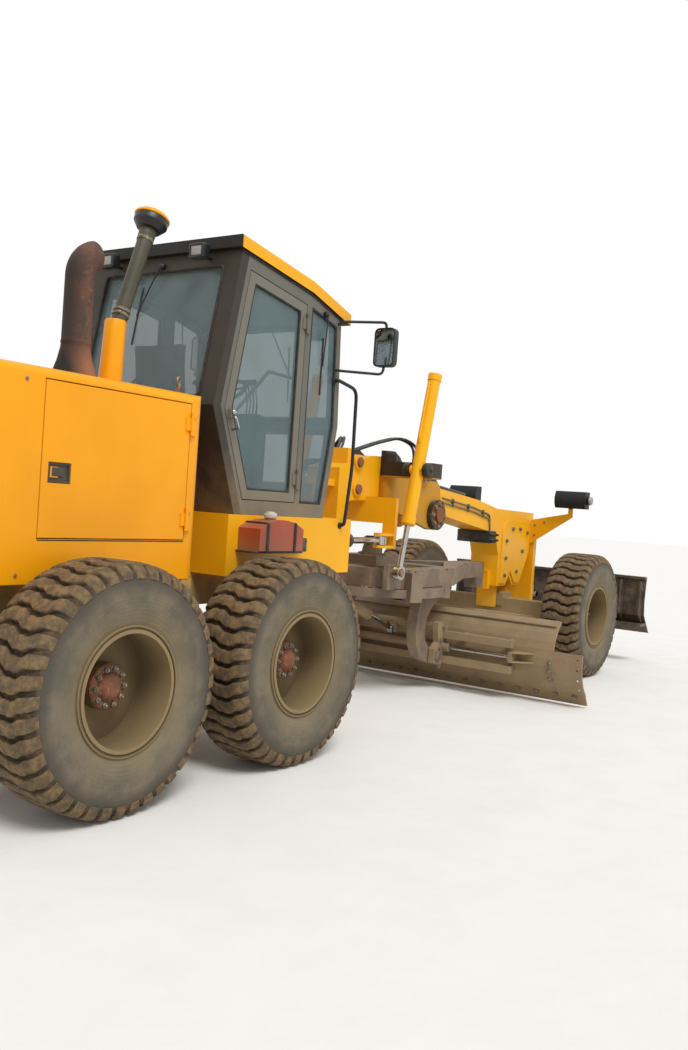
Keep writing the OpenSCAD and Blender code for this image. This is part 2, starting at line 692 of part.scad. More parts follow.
// Front frame: side outline of the neck, from the hitch down to the head and back
neck = [
    [hitch_x + ear_r + 110, ear_low_z - ear_t - clear], [hitch_x + 290, 1500], [hitch_x + 430, 1750],
    [hitch_x + 820, 1770], [front_axle_x - 1600, 1656], [front_axle_x - 400, 1500],
    [front_axle_x - 290, 1250], [front_axle_x - 290, 900], [front_axle_x - 60, 900],
    [front_axle_x + 40, 1010], [front_axle_x + 130, 900], [front_axle_x + 320, 900],
    [front_axle_x + 616, 1350], [front_axle_x + 631, 1760], [front_axle_x - 390, 1780],
    [front_axle_x - 900, 1860], [front_axle_x - 1900, 1950], [hitch_x + 1090, 2180],
    [hitch_x + 760, 2170], [hitch_x + 350, 2060], [hitch_x + ear_r + 110, 2030]];
// Raised plate on each side of the head
head_plate_t = 14;
head_plate = concat([[front_axle_x - 230, 930], [front_axle_x - 90, 930], [front_axle_x + 40, 1070],
    [front_axle_x + 160, 930], [front_axle_x + 290, 930], [front_axle_x + 560, 1360]],
    [for (a = [0 : 15 : 90]) [front_axle_x + 410 + 150 * cos(a), 1500 + 150 * sin(a)]],
    [for (a = [90 : 15 : 180]) [front_axle_x - 80 + 150 * cos(a), 1500 + 150 * sin(a)]]);
axle_pin_z = 760;
module front_frame() {
    color("gold") difference() {
        union() {
            across(neck, -neck_w / 2, neck_w / 2);
            // ears below the rear frame's lower ear and above its upper one
            for (z = [ear_low_z - ear_t - clear, ear_high_z + ear_t + clear]) {
                bar_z([hitch_x, 0, z + ear_t / 2], 2 * ear_r, ear_t);
                block(hitch_x, hitch_x + ear_r + 112, -ear_r, ear_r, z, z + ear_t);
            }
            // the two pins
            bar_z([hitch_x, 0, ear_low_z], hitch_pin_d, 2 * ear_t + 30);
            bar_z([hitch_x, 0, ear_high_z + ear_t], hitch_pin_d, 2 * ear_t + 30);
            across(head_plate, -neck_w / 2 - head_plate_t, neck_w / 2 + head_plate_t);
            // round bosses of the neck's rear end
            for (z = [1855, 2095]) bar_y([hitch_x + 520, 0, z], 130, neck_w + 44);
            // block that the hoses start from
            block(hose_x - 60, hose_x, -130, 130, 2050, 2212);
            // ears that hang the axle on its pin
            for (x = [front_axle_x - 200, front_axle_x + 130])
                block(x, x + 70, -110, 110, axle_pin_z - 110, 901);
            bar_x([front_axle_x, 0, axle_pin_z], 80, 400);
            // socket of the drawbar ball
            block(ball_x + 60, front_axle_x - 289, -90, 90, ball_z - 90, ball_z + 120);
            along([ball_x, 0, ball_z], [ball_x + 100, 0, ball_z]) cylinder(d = 50, h = 100);
            translate([ball_x, 0, ball_z]) sphere(d = ball_d);
            // cheeks for the articulation cylinders, on a plate across the neck
            pair() turn_cheeks([turn_f_x, turn_f_y, turn_z], turn_f_x + 120);
            pair() block(turn_f_x + 118, turn_f_x + 160, turn_f_y - 63, turn_f_y + 63, turn_z - 70, 1800);
            block(turn_f_x + 118, turn_f_x + 160, -turn_f_y, turn_f_y, turn_z + 150, 1800);
            // front bracket of the dozer blade
            block(front_axle_x + 560, front_axle_x + 640, -230, 230, 480, 1500);
            pair() across([[front_axle_x + 639, 480], [dozer_pin_x, 480], [dozer_pin_x, 620],
                [front_axle_x + 639, 760]], 150, 190);
            pair() bar_y([dozer_pin_x, 170, dozer_pin_z], 140, 40);
            pair() across([[front_axle_x + 639, 1380], [dozer_ram_x, 1400], [dozer_ram_x, 1500],
                [front_axle_x + 639, 1500]], 55, 85);
            pair() bar_y([dozer_ram_x, 70, dozer_ram_z], 100, 30);
        }
        pair() bar_y([dozer_pin_x, 170, dozer_pin_z], dozer_pin_d + 2 * running, 100);
        bar_y([dozer_ram_x, 0, dozer_ram_z], 40 + 2 * running, 400);
    }
}
ball_x = front_axle_x - 419;
ball_z = 950;
ball_d = 110;

// Lift cylinders: trunnions in the saddle's forks, rods to balls on the drawbar
lift_y = 640;
lift_t = [hitch_x + 770, 0, 2060];
lift_b = [hitch_x + 570, 0, 1156];
lift_top = 866;
lift_barrel_d = 112;
lift_rod_d = 50;
lift_low = 500;
trunnion_d = 60;
fork_gap = 70;
fork_t = 30;
fork_top = 2130;
// Saddle: a plate on each side of the neck with the lock boss, the yoke boss and the fork
saddle_t = 50;
saddle_side = [
    [hitch_x + 900, 1740], [hitch_x + 1500, 1590], [hitch_x + 1800, 1520], [hitch_x + 1960, 1560],
    [hitch_x + 2040, 1690], [hitch_x + 1960, 1960], [hitch_x + 1700, 2150], [hitch_x + 1480, 2150],
    [hitch_x + 1310, 2050], [hitch_x + 1150, 2190], [hitch_x + 1060, 2235], [hitch_x + 900, 2230]];
module lift_saddle() {
    y0 = neck_w / 2;
    color("goldenrod") pair() difference() {
        union() {
            across(saddle_side, y0, y0 + saddle_t);
            bar_y([hitch_x + 1880, y0 + saddle_t, 1670], 300, 2 * saddle_t);
            bar_y([hitch_x + 1880, y0 + 2 * saddle_t, 1670], 150, 60);
            bar_y([hitch_x + 1590, y0 + saddle_t, 2070], 190, 2 * saddle_t);
            // round nose of the saddle and the arm out to the fork
            bar_z([hitch_x + 960, y0 + saddle_t, 1960], 150, 480);
            block(lift_t[0] + 95, hitch_x + 1030, y0 + saddle_t - 1, lift_y + fork_gap + fork_t,
                fork_top - 140, fork_top);
            for (y = [lift_y - fork_gap - fork_t, lift_y + fork_gap]) {
                block(lift_t[0], lift_t[0] + 96, y, y + fork_t, lift_t[2] - 60, lift_t[2] + 60);
                bar_y([lift_t[0], y + fork_t / 2, lift_t[2]], 120, fork_t);
            }
        }
        bar_y(lift_t + [0, lift_y, 0], trunnion_d + 2 * running, 300);
        // the saddle stays outside the neck
        block(hitch_x + 800, hitch_x + 1200, -y0, y0, 1500, 2400);
    }
}
// Hoses over the neck, from a block on it to the fork's arm on each side
hose_d = 26;
hose_x = hitch_x + 470;
hose_path = [
    [hose_x + 1.4, 60, 2184], [hose_x + 70, 62, 2190], [hose_x + 190, 110, 2240],
    [hose_x + 330, 190, 2300], [hose_x + 480, 290, 2345], [hose_x + 560, 390, 2300],
    [hose_x + 538, 448, 2215], [hose_x + 535, 450, fork_top + 0.9]];
// A point between four path points, on a smooth curve
function between(p, i, t) = let (n = len(p) - 1, a = p[max(i - 1, 0)], b = p[i], c = p[i + 1],
    d = p[min(i + 2, n)])
    0.5 * (2 * b + (c - a) * t + (2 * a - 5 * b + 4 * c - d) * t * t
        + (3 * b - a - 3 * c + d) * t * t * t);
// A closed tube along a smooth curve, with eight sides and flat ends
module hose(path, d, steps = 3) {
    sides = 8;
    p = [for (i = [0 : len(path) - 2]) for (t = [0 : steps - 1]) between(path, i, t / steps),
        path[len(path) - 1]];
    n = len(p);
    ring = [for (i = [0 : n - 1]) let (t = p[min(i + 1, n - 1)] - p[max(i - 1, 0)], u = t / norm(t),
        side = cross(u, [0, 1, 0.3]), v = side / norm(side), w = cross(u, v))
        for (k = [0 : sides - 1]) let (a = 360 * k / sides) p[i] + d / 2 * (cos(a) * v + sin(a) * w)];
    polyhedron(ring, concat([[for (k = [0 : sides - 1]) k]],
        [[for (k = [sides - 1 : -1 : 0]) (n - 1) * sides + k]],
        [for (i = [0 : n - 2]) for (k = [0 : sides - 1]) let (a = i * sides + k,
            b = i * sides + (k + 1) % sides) each [[a, b + sides, b], [a, a + sides, b + sides]]]));
}
module saddle_hoses()
    color("black") pair() for (y = [0, 38]) translate([0, y, 0]) hose(hose_path, hose_d);
module lift_barrel() {
    color("gold") along(lift_t, lift_b) difference() {
        union() {
            translate([0, 0, -lift_top]) cylinder(d = lift_barrel_d, h = lift_top + lift_low);
            translate([0, 0, -lift_top - 18]) cylinder(d = lift_barrel_d + 12, h = 60);
            translate([0, 0, lift_low - 70]) cylinder(d = lift_barrel_d + 14, h = 60);
            rotate([90, 0, 0]) cylinder(d = trunnion_d, h = 2 * (fork_gap + fork_t), center = true);
            rotate([90, 0, 0]) cylinder(d = trunnion_d + 30, h = 2 * fork_gap - 12, center = true);
        }
        translate([0, 0, -lift_top + 30]) cylinder(d = lift_barrel_d - 26, h = lift_top + lift_low - 80);
        translate([0, 0, lift_low - 60]) cylinder(d = lift_rod_d + 2 * running, h = 80);
    }
}
lift_ball_d = 60;
lift_drift = 8;
module lift_rod() {
    reach = norm(lift_b - lift_t);
    color("silver") along(lift_t, lift_b) difference() {
        union() {
            translate([0, 0, -340]) cylinder(d = lift_rod_d, h = reach + 340 - 50);
            translate([0, 0, -340]) cylinder(d = lift_barrel_d - 26 - 2 * running, h = 50);
            translate([0, 0, reach]) rotate([90, 0, 0]) cylinder(d = 124, h = 50, center = true);
        }
        translate([0, 0, reach]) rotate([90, 0, 0])
            cylinder(d = lift_ball_d + 2 * lift_drift, h = 60, center = true);
    }
}

// Drawbar with its A-frame, circle shoes, lift studs and circle drive
bar_z0 = 1000;
bar_h = 170;
notch_w = 170;
module drawbar() {
    half = circle_d / 2;
    color("dimgray") {
        difference() {
            translate([0, 0, bar_z0]) linear_extrude(bar_h) difference() {
                polygon([
                    [ball_x - 120, -80], [ball_x - 120, 80], [ball_x - 600, 120],
                    [circle_x + 620, 560], [lift_b[0] + 10, 560], [lift_b[0] + 10, -560],
                    [circle_x + 620, -560], [ball_x - 600, -120]]);
                polygon([[ball_x - 850, 0], [circle_x + 700, 390], [circle_x + 700, -390]]);
                translate([circle_x - 400, -400]) square([900, 800]);
                // notches that pass the articulation cylinders as the blade comes up
                for (s = [-1, 1]) translate([lift_b[0] - 1, s * turn_f_y - notch_w / 2])
                    square([turn_f_x + 170 - lift_b[0], notch_w]);
            }
        }
        // neck down to the ball, with a socket cap behind the ball
        difference() {
            block(ball_x - 180, ball_x - 20, -75, 75, ball_z - 70, bar_z0 + bar_h);
            translate([ball_x, 0, ball_z]) sphere(d = ball_d + 2 * running);
        }
        // shoes that carry the circle
        for (a = [50, 115, 245, 310]) translate([circle_x, 0, 0]) rotate([0, 0, a]) {
            block(half + 6, half + 60, -60, 60, circle_z0 - 30, bar_z0 + bar_h - 20);
            block(half - shoe_grip, half + 10, -60, 60, circle_z0 - 30, circle_z0 - running);
            block(half - 260, half + 10, -60, 60, circle_z0 + circle_t + running, bar_z0 + bar_h - 20);
        }
        // studs of the lift cylinders
        pair() {
            bar_y([lift_b[0], (560 + lift_y + 40) / 2, lift_b[2]], lift_ball_d, lift_y + 40 - 560);
            block(lift_b[0] - 60, lift_b[0] + 60, 520, 570, bar_z0, lift_b[2] + 60);
        }
        // circle drive
        block(circle_x - 250, circle_x + 150, -200, 200, bar_z0 + bar_h, bar_z0 + bar_h + 90);
        block(circle_x - 420, circle_x + 520, -90, 90, bar_z0 + 20, bar_z0 + bar_h + 1);
        bar_z([circle_x, 0, bar_z0 + bar_h + 160], 180, 180);
    }
}
circle_t = 75;
circle_z0 = bar_z0 - circle_t - 6;
circle_in = circle_d - 220;
tooth_h = 30;
// How far a shoe reaches in under the circle
shoe_grip = 25;

// Turning circle with the two side arms that curve back round the blade
arm_y = 400;
arm_t = 70;
tilt_x = circle_x + 430;
tilt_z = 330;
tilt_pin_d = 60;
// Back edge of an arm from the top down, then its front edge from the bottom up
arm_side = [
    [circle_x + 470, circle_z0 + 1], [circle_x + 180, circle_z0 + 1], [circle_x + 115, 760],
    [circle_x + 90, 600], [circle_x + 115, 450], [circle_x + 200, 320], [tilt_x - 75, 262],
    [tilt_x, tilt_z - 75], [tilt_x + 10, tilt_z + 74], [tilt_x - 60, 400], [circle_x + 295, 480],
    [circle_x + 275, 570], [circle_x + 300, 700], [circle_x + 380, 790], [circle_x + 470, 850]];
// Tilt cylinder: barrel under the circle's rear, rod eye on the carrier's middle
tilt_a = [circle_x - 540, 0, 880];
tilt_b = [tilt_x + 20, 0, 520];
tilt_barrel_d = 84;
tilt_rod_d = 42;
tilt_ear_t = 22;
tilt_pin2_d = 36;
module turning_circle() {
    color("dimgray") difference() {
        union() {
            circle_ring_solid();
            pair() {
                across(arm_side, arm_y, arm_y + arm_t);
                bar_y([tilt_x, arm_y + arm_t / 2, tilt_z], 150, arm_t);
                // rib along the arm's back edge
                across([[circle_x + 180, circle_z0 + 1], [circle_x + 115, 760], [circle_x + 90, 600],
                    [circle_x + 115, 450], [circle_x + 200, 320], [circle_x + 218, 334],
                    [circle_x + 136, 458], [circle_x + 112, 600], [circle_x + 136, 754],
                    [circle_x + 202, circle_z0 + 1]], arm_y - 26, arm_y + arm_t + 6);
                // ears of the tilt cylinder
                across([[tilt_a[0] - 120, circle_z0 + 1], [tilt_a[0] - 40, circle_z0 - 70],
                    [tilt_a[0] + 38, circle_z0 - 80], [tilt_a[0] + 38, circle_z0 - 6],
                    [tilt_a[0] - 20, circle_z0 + 1]], 36, 36 + tilt_ear_t);
            }
        }
        pair() bar_y([tilt_x, arm_y, tilt_z], tilt_pin_d + 2 * running, 400);
        bar_y(tilt_a, tilt_pin2_d + 2 * running, 300);
    }
}
// Ring with teeth on its inside
module circle_ring_solid()
    translate([circle_x, 0, circle_z0]) linear_extrude(circle_t) difference() {
        circle(d = circle_d);
        polygon([for (k = [0 : circle_teeth - 1]) for (e = [[0.1, 0], [0.22, tooth_h], [0.5, tooth_h],
            [0.62, 0]]) let (a = 360 * (k + e[0]) / circle_teeth, r = circle_in / 2 - e[1])
            [r * cos(a), r * sin(a)]]);
    }
module tilt_barrel() {
    reach = norm(tilt_b - tilt_a);
    color("dimgray") along(tilt_a, tilt_b) difference() {
        union() {
            translate([0, 0, 50]) cylinder(d = tilt_barrel_d, h = 0.55 * reach - 50);
            translate([0, 0, 0.55 * reach - 45]) cylinder(d = tilt_barrel_d + 12, h = 38);
            rotate([90, 0, 0]) cylinder(d = 84, h = 60, center = true);
            translate([0, 0, 20]) cylinder(d = 56, h = 40);
            rotate([90, 0, 0]) cylinder(d = tilt_pin2_d, h = 2 * (36 + tilt_ear_t), center = true);
        }
        translate([0, 0, 80]) cylinder(d = tilt_barrel_d - 20, h = 0.55 * reach - 130);
        translate([0, 0, 0.55 * reach - 60]) cylinder(d = tilt_rod_d + 2 * running, h = 80);
    }
}
// The eye is open round its pin, for the small arc that the carrier's ear makes
tilt_drift = 18;
module tilt_rod() {
    reach = norm(tilt_b - tilt_a);
    color("silver") along(tilt_a, tilt_b) difference() {
        union() {
            translate([0, 0, 0.33 * reach]) cylinder(d = tilt_rod_d, h = 0.67 * reach - 30);
            translate([0, 0, 0.33 * reach]) cylinder(d = tilt_barrel_d - 20 - 2 * running, h = 36);
            translate([0, 0, reach]) rotate([90, 0, 0]) cylinder(d = 92, h = 56, center = true);
        }
        translate([0, 0, reach]) rotate([90, 0, 0])
            cylinder(d = tilt_pin2_d + 2 * tilt_drift, h = 80, center = true);
    }
}

// Carrier: two brackets that tilt on the arms and hold the moldboard's rails
carrier_y = arm_y + arm_t + 8;
carrier_t = 60;
rail_x = tilt_x + 120;
rail_lo = 290;
rail_hi = 530;
rail_s = 70;
shift_z = (rail_lo + rail_hi) / 2;
// Middle of the tube between the two brackets
tie_x = tilt_b[0] - 8;
tie_z = tilt_b[2] + 96;
shift_barrel_d = 90;
shift_rod_d = 44;
// Half the barrel's length; it holds the whole stroke
shift_half = 600;
module blade_carrier() {
    color("dimgray") {
        pair() difference() {
            across([[tilt_x - 70, tilt_z - 62], [tilt_x - 30, tilt_z - 76],
                [rail_x + rail_s / 2 + 26, rail_lo - 70], [rail_x + rail_s / 2 + 26, rail_hi + 70],
                [tie_x + 30, tie_z + 40], [tie_x - 36, tie_z + 30], [tie_x - 36, tie_z - 40],
                [tilt_x + 5, tilt_b[2] - 60], [tilt_x - 70, tilt_z + 70]], carrier_y,
                carrier_y + carrier_t);
            for (z = [rail_lo, rail_hi])
                block(rail_x - rail_s / 2 - running, rail_x + rail_s / 2 + 30, carrier_y - 1,
                    carrier_y + carrier_t + 1, z - rail_s / 2 - running, z + rail_s / 2 + running);
            bar_y([rail_x, carrier_y, shift_z], shift_barrel_d + 2 * running, 3 * carrier_t);
        }
        // tilt pins
        pair() bar_y([tilt_x, (arm_y + carrier_y + carrier_t) / 2, tilt_z], tilt_pin_d,
            carrier_y + carrier_t - arm_y);
        // tube across that ties the brackets, with the ears of the tilt cylinder
        bar_y([tie_x, 0, tie_z], 60, 2 * carrier_y + 2);
        pair() across([[tie_x - 26, tie_z], [tilt_b[0] - 34, tilt_b[2] - 26],
            [tilt_b[0] + 26, tilt_b[2] - 26], [tie_x + 26, tie_z]], 40, 62);
        bar_y(tilt_b, tilt_pin2_d, 124);
    }
}
// Side shift cylinder: barrel held in the carrier, rod out to a bracket on the moldboard
module shift_barrel()
    color("dimgray") difference() {
        union() {
            bar_y([rail_x, 0, shift_z], shift_barrel_d, 2 * shift_half);
            for (y = [-1, 1]) bar_y([rail_x, y * (carrier_y - 18), shift_z], shift_barrel_d + 14, 30);
        }
        bar_y([rail_x, 0, shift_z], shift_barrel_d - 20, 2 * shift_half - 50);
        bar_y([rail_x, -shift_half, shift_z], shift_rod_d + 2 * running, 120);
    }
shift_bracket_y = 1230;
module shift_rod()
    color("silver") {
        bar_y([rail_x, -shift_bracket_y / 2, shift_z], shift_rod_d, shift_bracket_y);
        bar_y([rail_x, 0, shift_z], shift_barrel_d - 20 - 2 * running, 40);
    }

// Moldboard: a curved plate with rails behind, a cutting edge and end extensions
curve_r = 430;
curve_lo = -52;
curve_hi = 52;
board_mid_z = blade_z + 410;
board_x = rail_x + 110;
function curve(r, a0, a1, n) = [for (i = [0 : n]) let (a = a0 + (a1 - a0) * i / n)
    [board_x + curve_r - r * cos(a), board_mid_z + r * sin(a)]];
// Top angle of an end extension on the board's curve
extension_hi = 10;
module moldboard() {
    color("dimgray") {
        across(concat(curve(curve_r, curve_lo, curve_hi, 10), curve(curve_r - blade_t, curve_hi, curve_lo, 10)),
            -blade_len / 2, blade_len / 2);
        for (z = [rail_lo, rail_hi])
            block(rail_x - rail_s / 2, rail_x + rail_s / 2, -1250, 1250, z - rail_s / 2, z + rail_s / 2);
        // webs that hold the rails to the board
        pair() for (y = [1180, 700]) for (z = [rail_lo, rail_hi])
            block(rail_x + rail_s / 2 - 1, board_x + 30, y, y + 30, z - rail_s / 2 + 5, z + rail_s / 2 - 5);
        // stiffening angle along the top of the back
        block(board_x + 90, board_x + 130, -blade_len / 2 + 20, blade_len / 2 - 20, board_mid_z + 288,
            board_mid_z + 300);
        // bracket of the side shift rod, with two gussets
        translate([0, -shift_bracket_y, 0]) {
            block(rail_x - 48, board_x + 30, -30, 0, shift_z - 48, shift_z + 48);
            for (z = [shift_z - 48, shift_z + 36])
                translate([0, 0, z]) linear_extrude(12) polygon([[rail_x - 40, -29],
                    [board_x + 30, -29], [board_x + 30, -190], [board_x - 10, -190]]);
        }
        // cutting edge
        across([[board_x + 128, blade_z + 130], [board_x + 214, blade_z], [board_x + 236, blade_z],
            [board_x + 147, blade_z + 138]], -blade_len / 2 - extension_w, blade_len / 2 + extension_w);
        // end extensions, each with a column of bolt holes
        pair() difference() {
            across(concat(curve(curve_r - 8, curve_lo, extension_hi, 7),
                curve(curve_r - blade_t - 8, extension_hi, curve_lo, 7)),
                blade_len / 2 - 60, blade_len / 2 + extension_w);
            for (z = [0.3, 0.5, 0.7, 0.9]) bar_x([board_x + 60, blade_len / 2 + extension_w - 45,
                blade_z + z * 480], 24, 300);
        }
    }
}

// Front axle, knuckles and tie rod
king_y = 800;
king_d = 70;
axle_h = 170;
module front_axle()
    color("dimgray") difference() {
        union() {
            block(front_axle_x - 110, front_axle_x + 110, -180, 180, axle_pin_z - 90, axle_pin_z + 60);
            block(front_axle_x - 90, front_axle_x + 90, -king_y + 90, king_y - 90, wheel_z - axle_h / 2,
                wheel_z + axle_h / 2);
            pair() bar_z([front_axle_x, king_y, wheel_z], 150, axle_h);
            pair() block(front_axle_x - 60, front_axle_x + 60, king_y - 95, king_y, wheel_z - axle_h / 2,
                wheel_z + axle_h / 2);
        }
        pair() bar_z([front_axle_x, king_y, wheel_z], king_d + 2 * running, axle_h + 2);
        bar_x([front_axle_x, 0, axle_pin_z], 80 + 2 * running, 400);
    }
steer_arm = 260;
// Top of the steering arms, low on the knuckles
arm_top_z = wheel_z - axle_h / 2 - 21;
module knuckle() {
    color("dimgray") {
        difference() {
            union() {
                bar_z([front_axle_x, king_y, wheel_z + axle_h / 2 + 26], 140, 50);
                bar_z([front_axle_x, king_y, wheel_z - axle_h / 2 - 26], 140, 50);
                bar_z([front_axle_x, king_y, wheel_z], king_d, axle_h + 60);
                block(front_axle_x - 60, front_axle_x + 60, king_y + 82, king_y + 115,
                    wheel_z - axle_h / 2 - 51, wheel_z + axle_h / 2 + 51);
                for (z = [wheel_z + axle_h / 2 + 1, wheel_z - axle_h / 2 - 51])
                    block(front_axle_x - 60, front_axle_x + 60, king_y, king_y + 84, z, z + 50);
                translate([front_axle_x, king_y + 114, wheel_z]) rotate([-90, 0, 0])
                    cylinder(d = spindle_d, h = wheel_y + spindle_end - king_y - 114);
                // steering arm
                block(front_axle_x - steer_arm, front_axle_x, king_y - 35, king_y + 35,
                    arm_top_z - 30, arm_top_z);
                bar_z([front_axle_x - steer_arm, king_y, arm_top_z - 15], 80, 30);
            }
            bar_z([front_axle_x - steer_arm, king_y, arm_top_z - 15], 36 + 2 * running, 60);
        }
    }
}
module tie_rod() {
    z = arm_top_z + 25;
    color("dimgray") {
        bar_y([front_axle_x - steer_arm, 0, z], 44, 2 * king_y);
        pair() bar_z([front_axle_x - steer_arm, king_y, z], 76, 44);
        pair() bar_z([front_axle_x - steer_arm, king_y, z - 28], 36, 64);
    }
}

// Headlamps on triangular plates: a housing with a round back, a wide lens and a side signal
lamp_y = 700;
lamp_x = front_axle_x + 530;
lamp_w = 370;
lamp_h = 200;
lamp_d = 150;
lamp_z = 1945;
module headlamps() pair() {
    color("gold") translate([lamp_x, 0, 0]) rotate([90, 0, 90]) linear_extrude(20)
        polygon([[neck_w / 2 + head_plate_t, 1390], [neck_w / 2 + head_plate_t, 1680], [lamp_y, 1790],
            [lamp_y, 1740]]);
    color("black") {
        intersection() {
            block(lamp_x - lamp_d, lamp_x + 30, lamp_y - lamp_w / 2, lamp_y + lamp_w / 2,
                lamp_z - lamp_h / 2, lamp_z + lamp_h / 2);
            bar_y([lamp_x + 10, lamp_y, lamp_z], lamp_h + 80, lamp_w + 2);
        }
        bar_x([lamp_x + 30, lamp_y - 60, lamp_z], 170, 40);
        bar_x([lamp_x + 30, lamp_y + 110, lamp_z], 100, 40);
        bar_y([lamp_x - 40, lamp_y + lamp_w / 2 + 14, lamp_z], 100, 40);
        block(lamp_x - 10, lamp_x + 20, lamp_y - 50, lamp_y - 1, 1760, lamp_z - lamp_h / 2 + 1);
    }
}

// Dozer blade on two push arms, with one lift cylinder
dozer_pin_x = front_axle_x + 760;
dozer_pin_z = 550;
dozer_pin_d = 50;
dozer_ram_x = front_axle_x + 730;
dozer_ram_z = 1450;
dozer_lug_x = front_axle_x + 1240;
dozer_lug_z = 730;
dozer_back = front_x - 260;
module dozer_blade() {
    color("dimgray") difference() {
        union() {
            across([[front_x, dozer_z], [front_x - 18, dozer_z], [dozer_back + 10, dozer_z + 230],
                [dozer_back - 15, dozer_z + 400], [dozer_back + 20, dozer_z + dozer_h],
                [dozer_back + 42, dozer_z + dozer_h], [dozer_back + 7, dozer_z + 400],
                [dozer_back + 32, dozer_z + 230]], -dozer_w / 2, dozer_w / 2);
            // flanges along the top and the foot of the back
            block(dozer_back - 50, dozer_back + 30, -dozer_w / 2, dozer_w / 2, dozer_z + dozer_h - 30,
                dozer_z + dozer_h);
            block(dozer_back - 90, dozer_back + 120, -dozer_w / 2, dozer_w / 2, dozer_z + 96,
                dozer_z + 130);
            pair() for (y = [260, 500, 760, 1000, 1240]) across([[dozer_back + 60, dozer_z + 129],
                [dozer_back - 90, dozer_z + 250], [dozer_back - 60, dozer_z + dozer_h - 60],
                [dozer_back + 30, dozer_z + dozer_h - 30], [dozer_back + 5, dozer_z + 400],
                [dozer_back + 22, dozer_z + 230]], y, y + 24);
            pair() across([[dozer_pin_x, dozer_pin_z - 60], [dozer_back, dozer_z + 150],
                [dozer_back + 5, dozer_z + 300], [dozer_pin_x, dozer_pin_z + 60]], 196, 236);
            pair() bar_y([dozer_pin_x, 216, dozer_pin_z], 120, 40);
            pair() bar_y([dozer_pin_x, 190, dozer_pin_z], dozer_pin_d, 92);
            block(dozer_lug_x - 60, dozer_back + 2, -200, 200, dozer_lug_z - 100, dozer_lug_z - 60);
            pair() across([[dozer_lug_x - 60, dozer_lug_z - 61], [dozer_lug_x + 60, dozer_lug_z - 61],
                [dozer_lug_x + 40, dozer_lug_z + 50], [dozer_lug_x - 40, dozer_lug_z + 50]], 75, 100);
        }
    }
}
dozer_barrel_d = 100;
dozer_rod_d = 50;
module dozer_barrel() {
    a = [dozer_ram_x, 0, dozer_ram_z];
    b = [dozer_lug_x, 0, dozer_lug_z];
    color("dimgray") along(a, b) difference() {
        union() {
            translate([0, 0, 40]) cylinder(d = dozer_barrel_d, h = 0.6 * norm(b - a) - 40);
            rotate([90, 0, 0]) cylinder(d = 90, h = 60, center = true);
            translate([0, 0, 20]) cylinder(d = 60, h = 30);
            rotate([90, 0, 0]) cylinder(d = 40, h = 170, center = true);
        }
        translate([0, 0, 70]) cylinder(d = dozer_barrel_d - 24, h = 0.6 * norm(b - a) - 110);
        translate([0, 0, 0.6 * norm(b - a) - 45]) cylinder(d = dozer_rod_d + 2 * running, h = 60);
    }
}
module dozer_rod() {
    a = [dozer_ram_x, 0, dozer_ram_z];
    b = [dozer_lug_x, 0, dozer_lug_z];
    reach = norm(b - a);
    color("silver") along(a, b) difference() {
        union() {
            translate([0, 0, 0.35 * reach]) cylinder(d = dozer_rod_d, h = 0.65 * reach - 20);
            translate([0, 0, 0.35 * reach]) cylinder(d = dozer_barrel_d - 24 - 2 * running, h = 40);
            translate([0, 0, reach]) rotate([90, 0, 0]) cylinder(d = 90, h = 60, center = true);
        }
        translate([0, 0, reach]) rotate([90, 0, 0]) cylinder(d = 40, h = 80, center = true);
    }
}

centred() rear_frame();
centred() rear_axle();
centred() engine_block();
centred() hood();
centred() rear_grille();
centred() intake_stack();
centred() exhaust();
centred() cab_base();
centred() fluid_tank();
centred() cab_frame();
centred() cab_roof();
centred() cab_glass();
centred() seat();
centred() console();
centred() cab_trim();
centred() front_frame();
centred() lift_saddle();
centred() saddle_hoses();
centred() headlamps();
centred() front_axle();
centred() tie_rod();
centred() drawbar();
centred() turning_circle();
centred() blade_carrier();
centred() moldboard();
centred() tilt_barrel();
centred() tilt_rod();
centred() shift_barrel();
centred() shift_rod();
centred() dozer_blade();
centred() dozer_barrel();
centred() dozer_rod();
for (w = wheels) {
    centred() at_wheel(w) tyre();
    centred() at_wheel(w) rim();
}
for (s = sides) {
    centred() on_side(s[1]) hood_door();
    centred() on_side(s[1]) cab_door();
    centred() on_side(s[1]) door_glass();
    centred() on_side(s[1]) knuckle();
    centred() translate([0, s[1] * lift_y, 0]) lift_barrel();
    centred() translate([0, s[1] * lift_y, 0]) lift_rod();
    centred() turn_barrel(s[1]);
    centred() turn_rod(s[1]);
}
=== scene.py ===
"""Motor grader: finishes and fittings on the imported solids, with a studio and the camera."""

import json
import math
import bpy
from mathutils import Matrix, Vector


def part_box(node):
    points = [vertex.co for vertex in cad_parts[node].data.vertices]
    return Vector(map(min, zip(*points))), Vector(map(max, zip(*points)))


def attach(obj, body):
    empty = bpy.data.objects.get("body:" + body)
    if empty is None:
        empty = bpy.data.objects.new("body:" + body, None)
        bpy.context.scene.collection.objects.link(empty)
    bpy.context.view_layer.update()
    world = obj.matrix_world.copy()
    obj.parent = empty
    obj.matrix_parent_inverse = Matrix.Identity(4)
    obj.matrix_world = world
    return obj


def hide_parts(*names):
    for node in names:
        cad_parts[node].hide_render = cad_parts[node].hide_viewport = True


bl_info = {
    "name": "Motor grader",
    "version": (1, 0, 0),
    "blender": (4, 5, 0),
    "location": "View3D > Sidebar > Grader",
    "description": "Dresses the motor grader's solids with finishes and small fittings",
    "category": "Object",
}

import bmesh
import bpy
from mathutils import Matrix, Vector

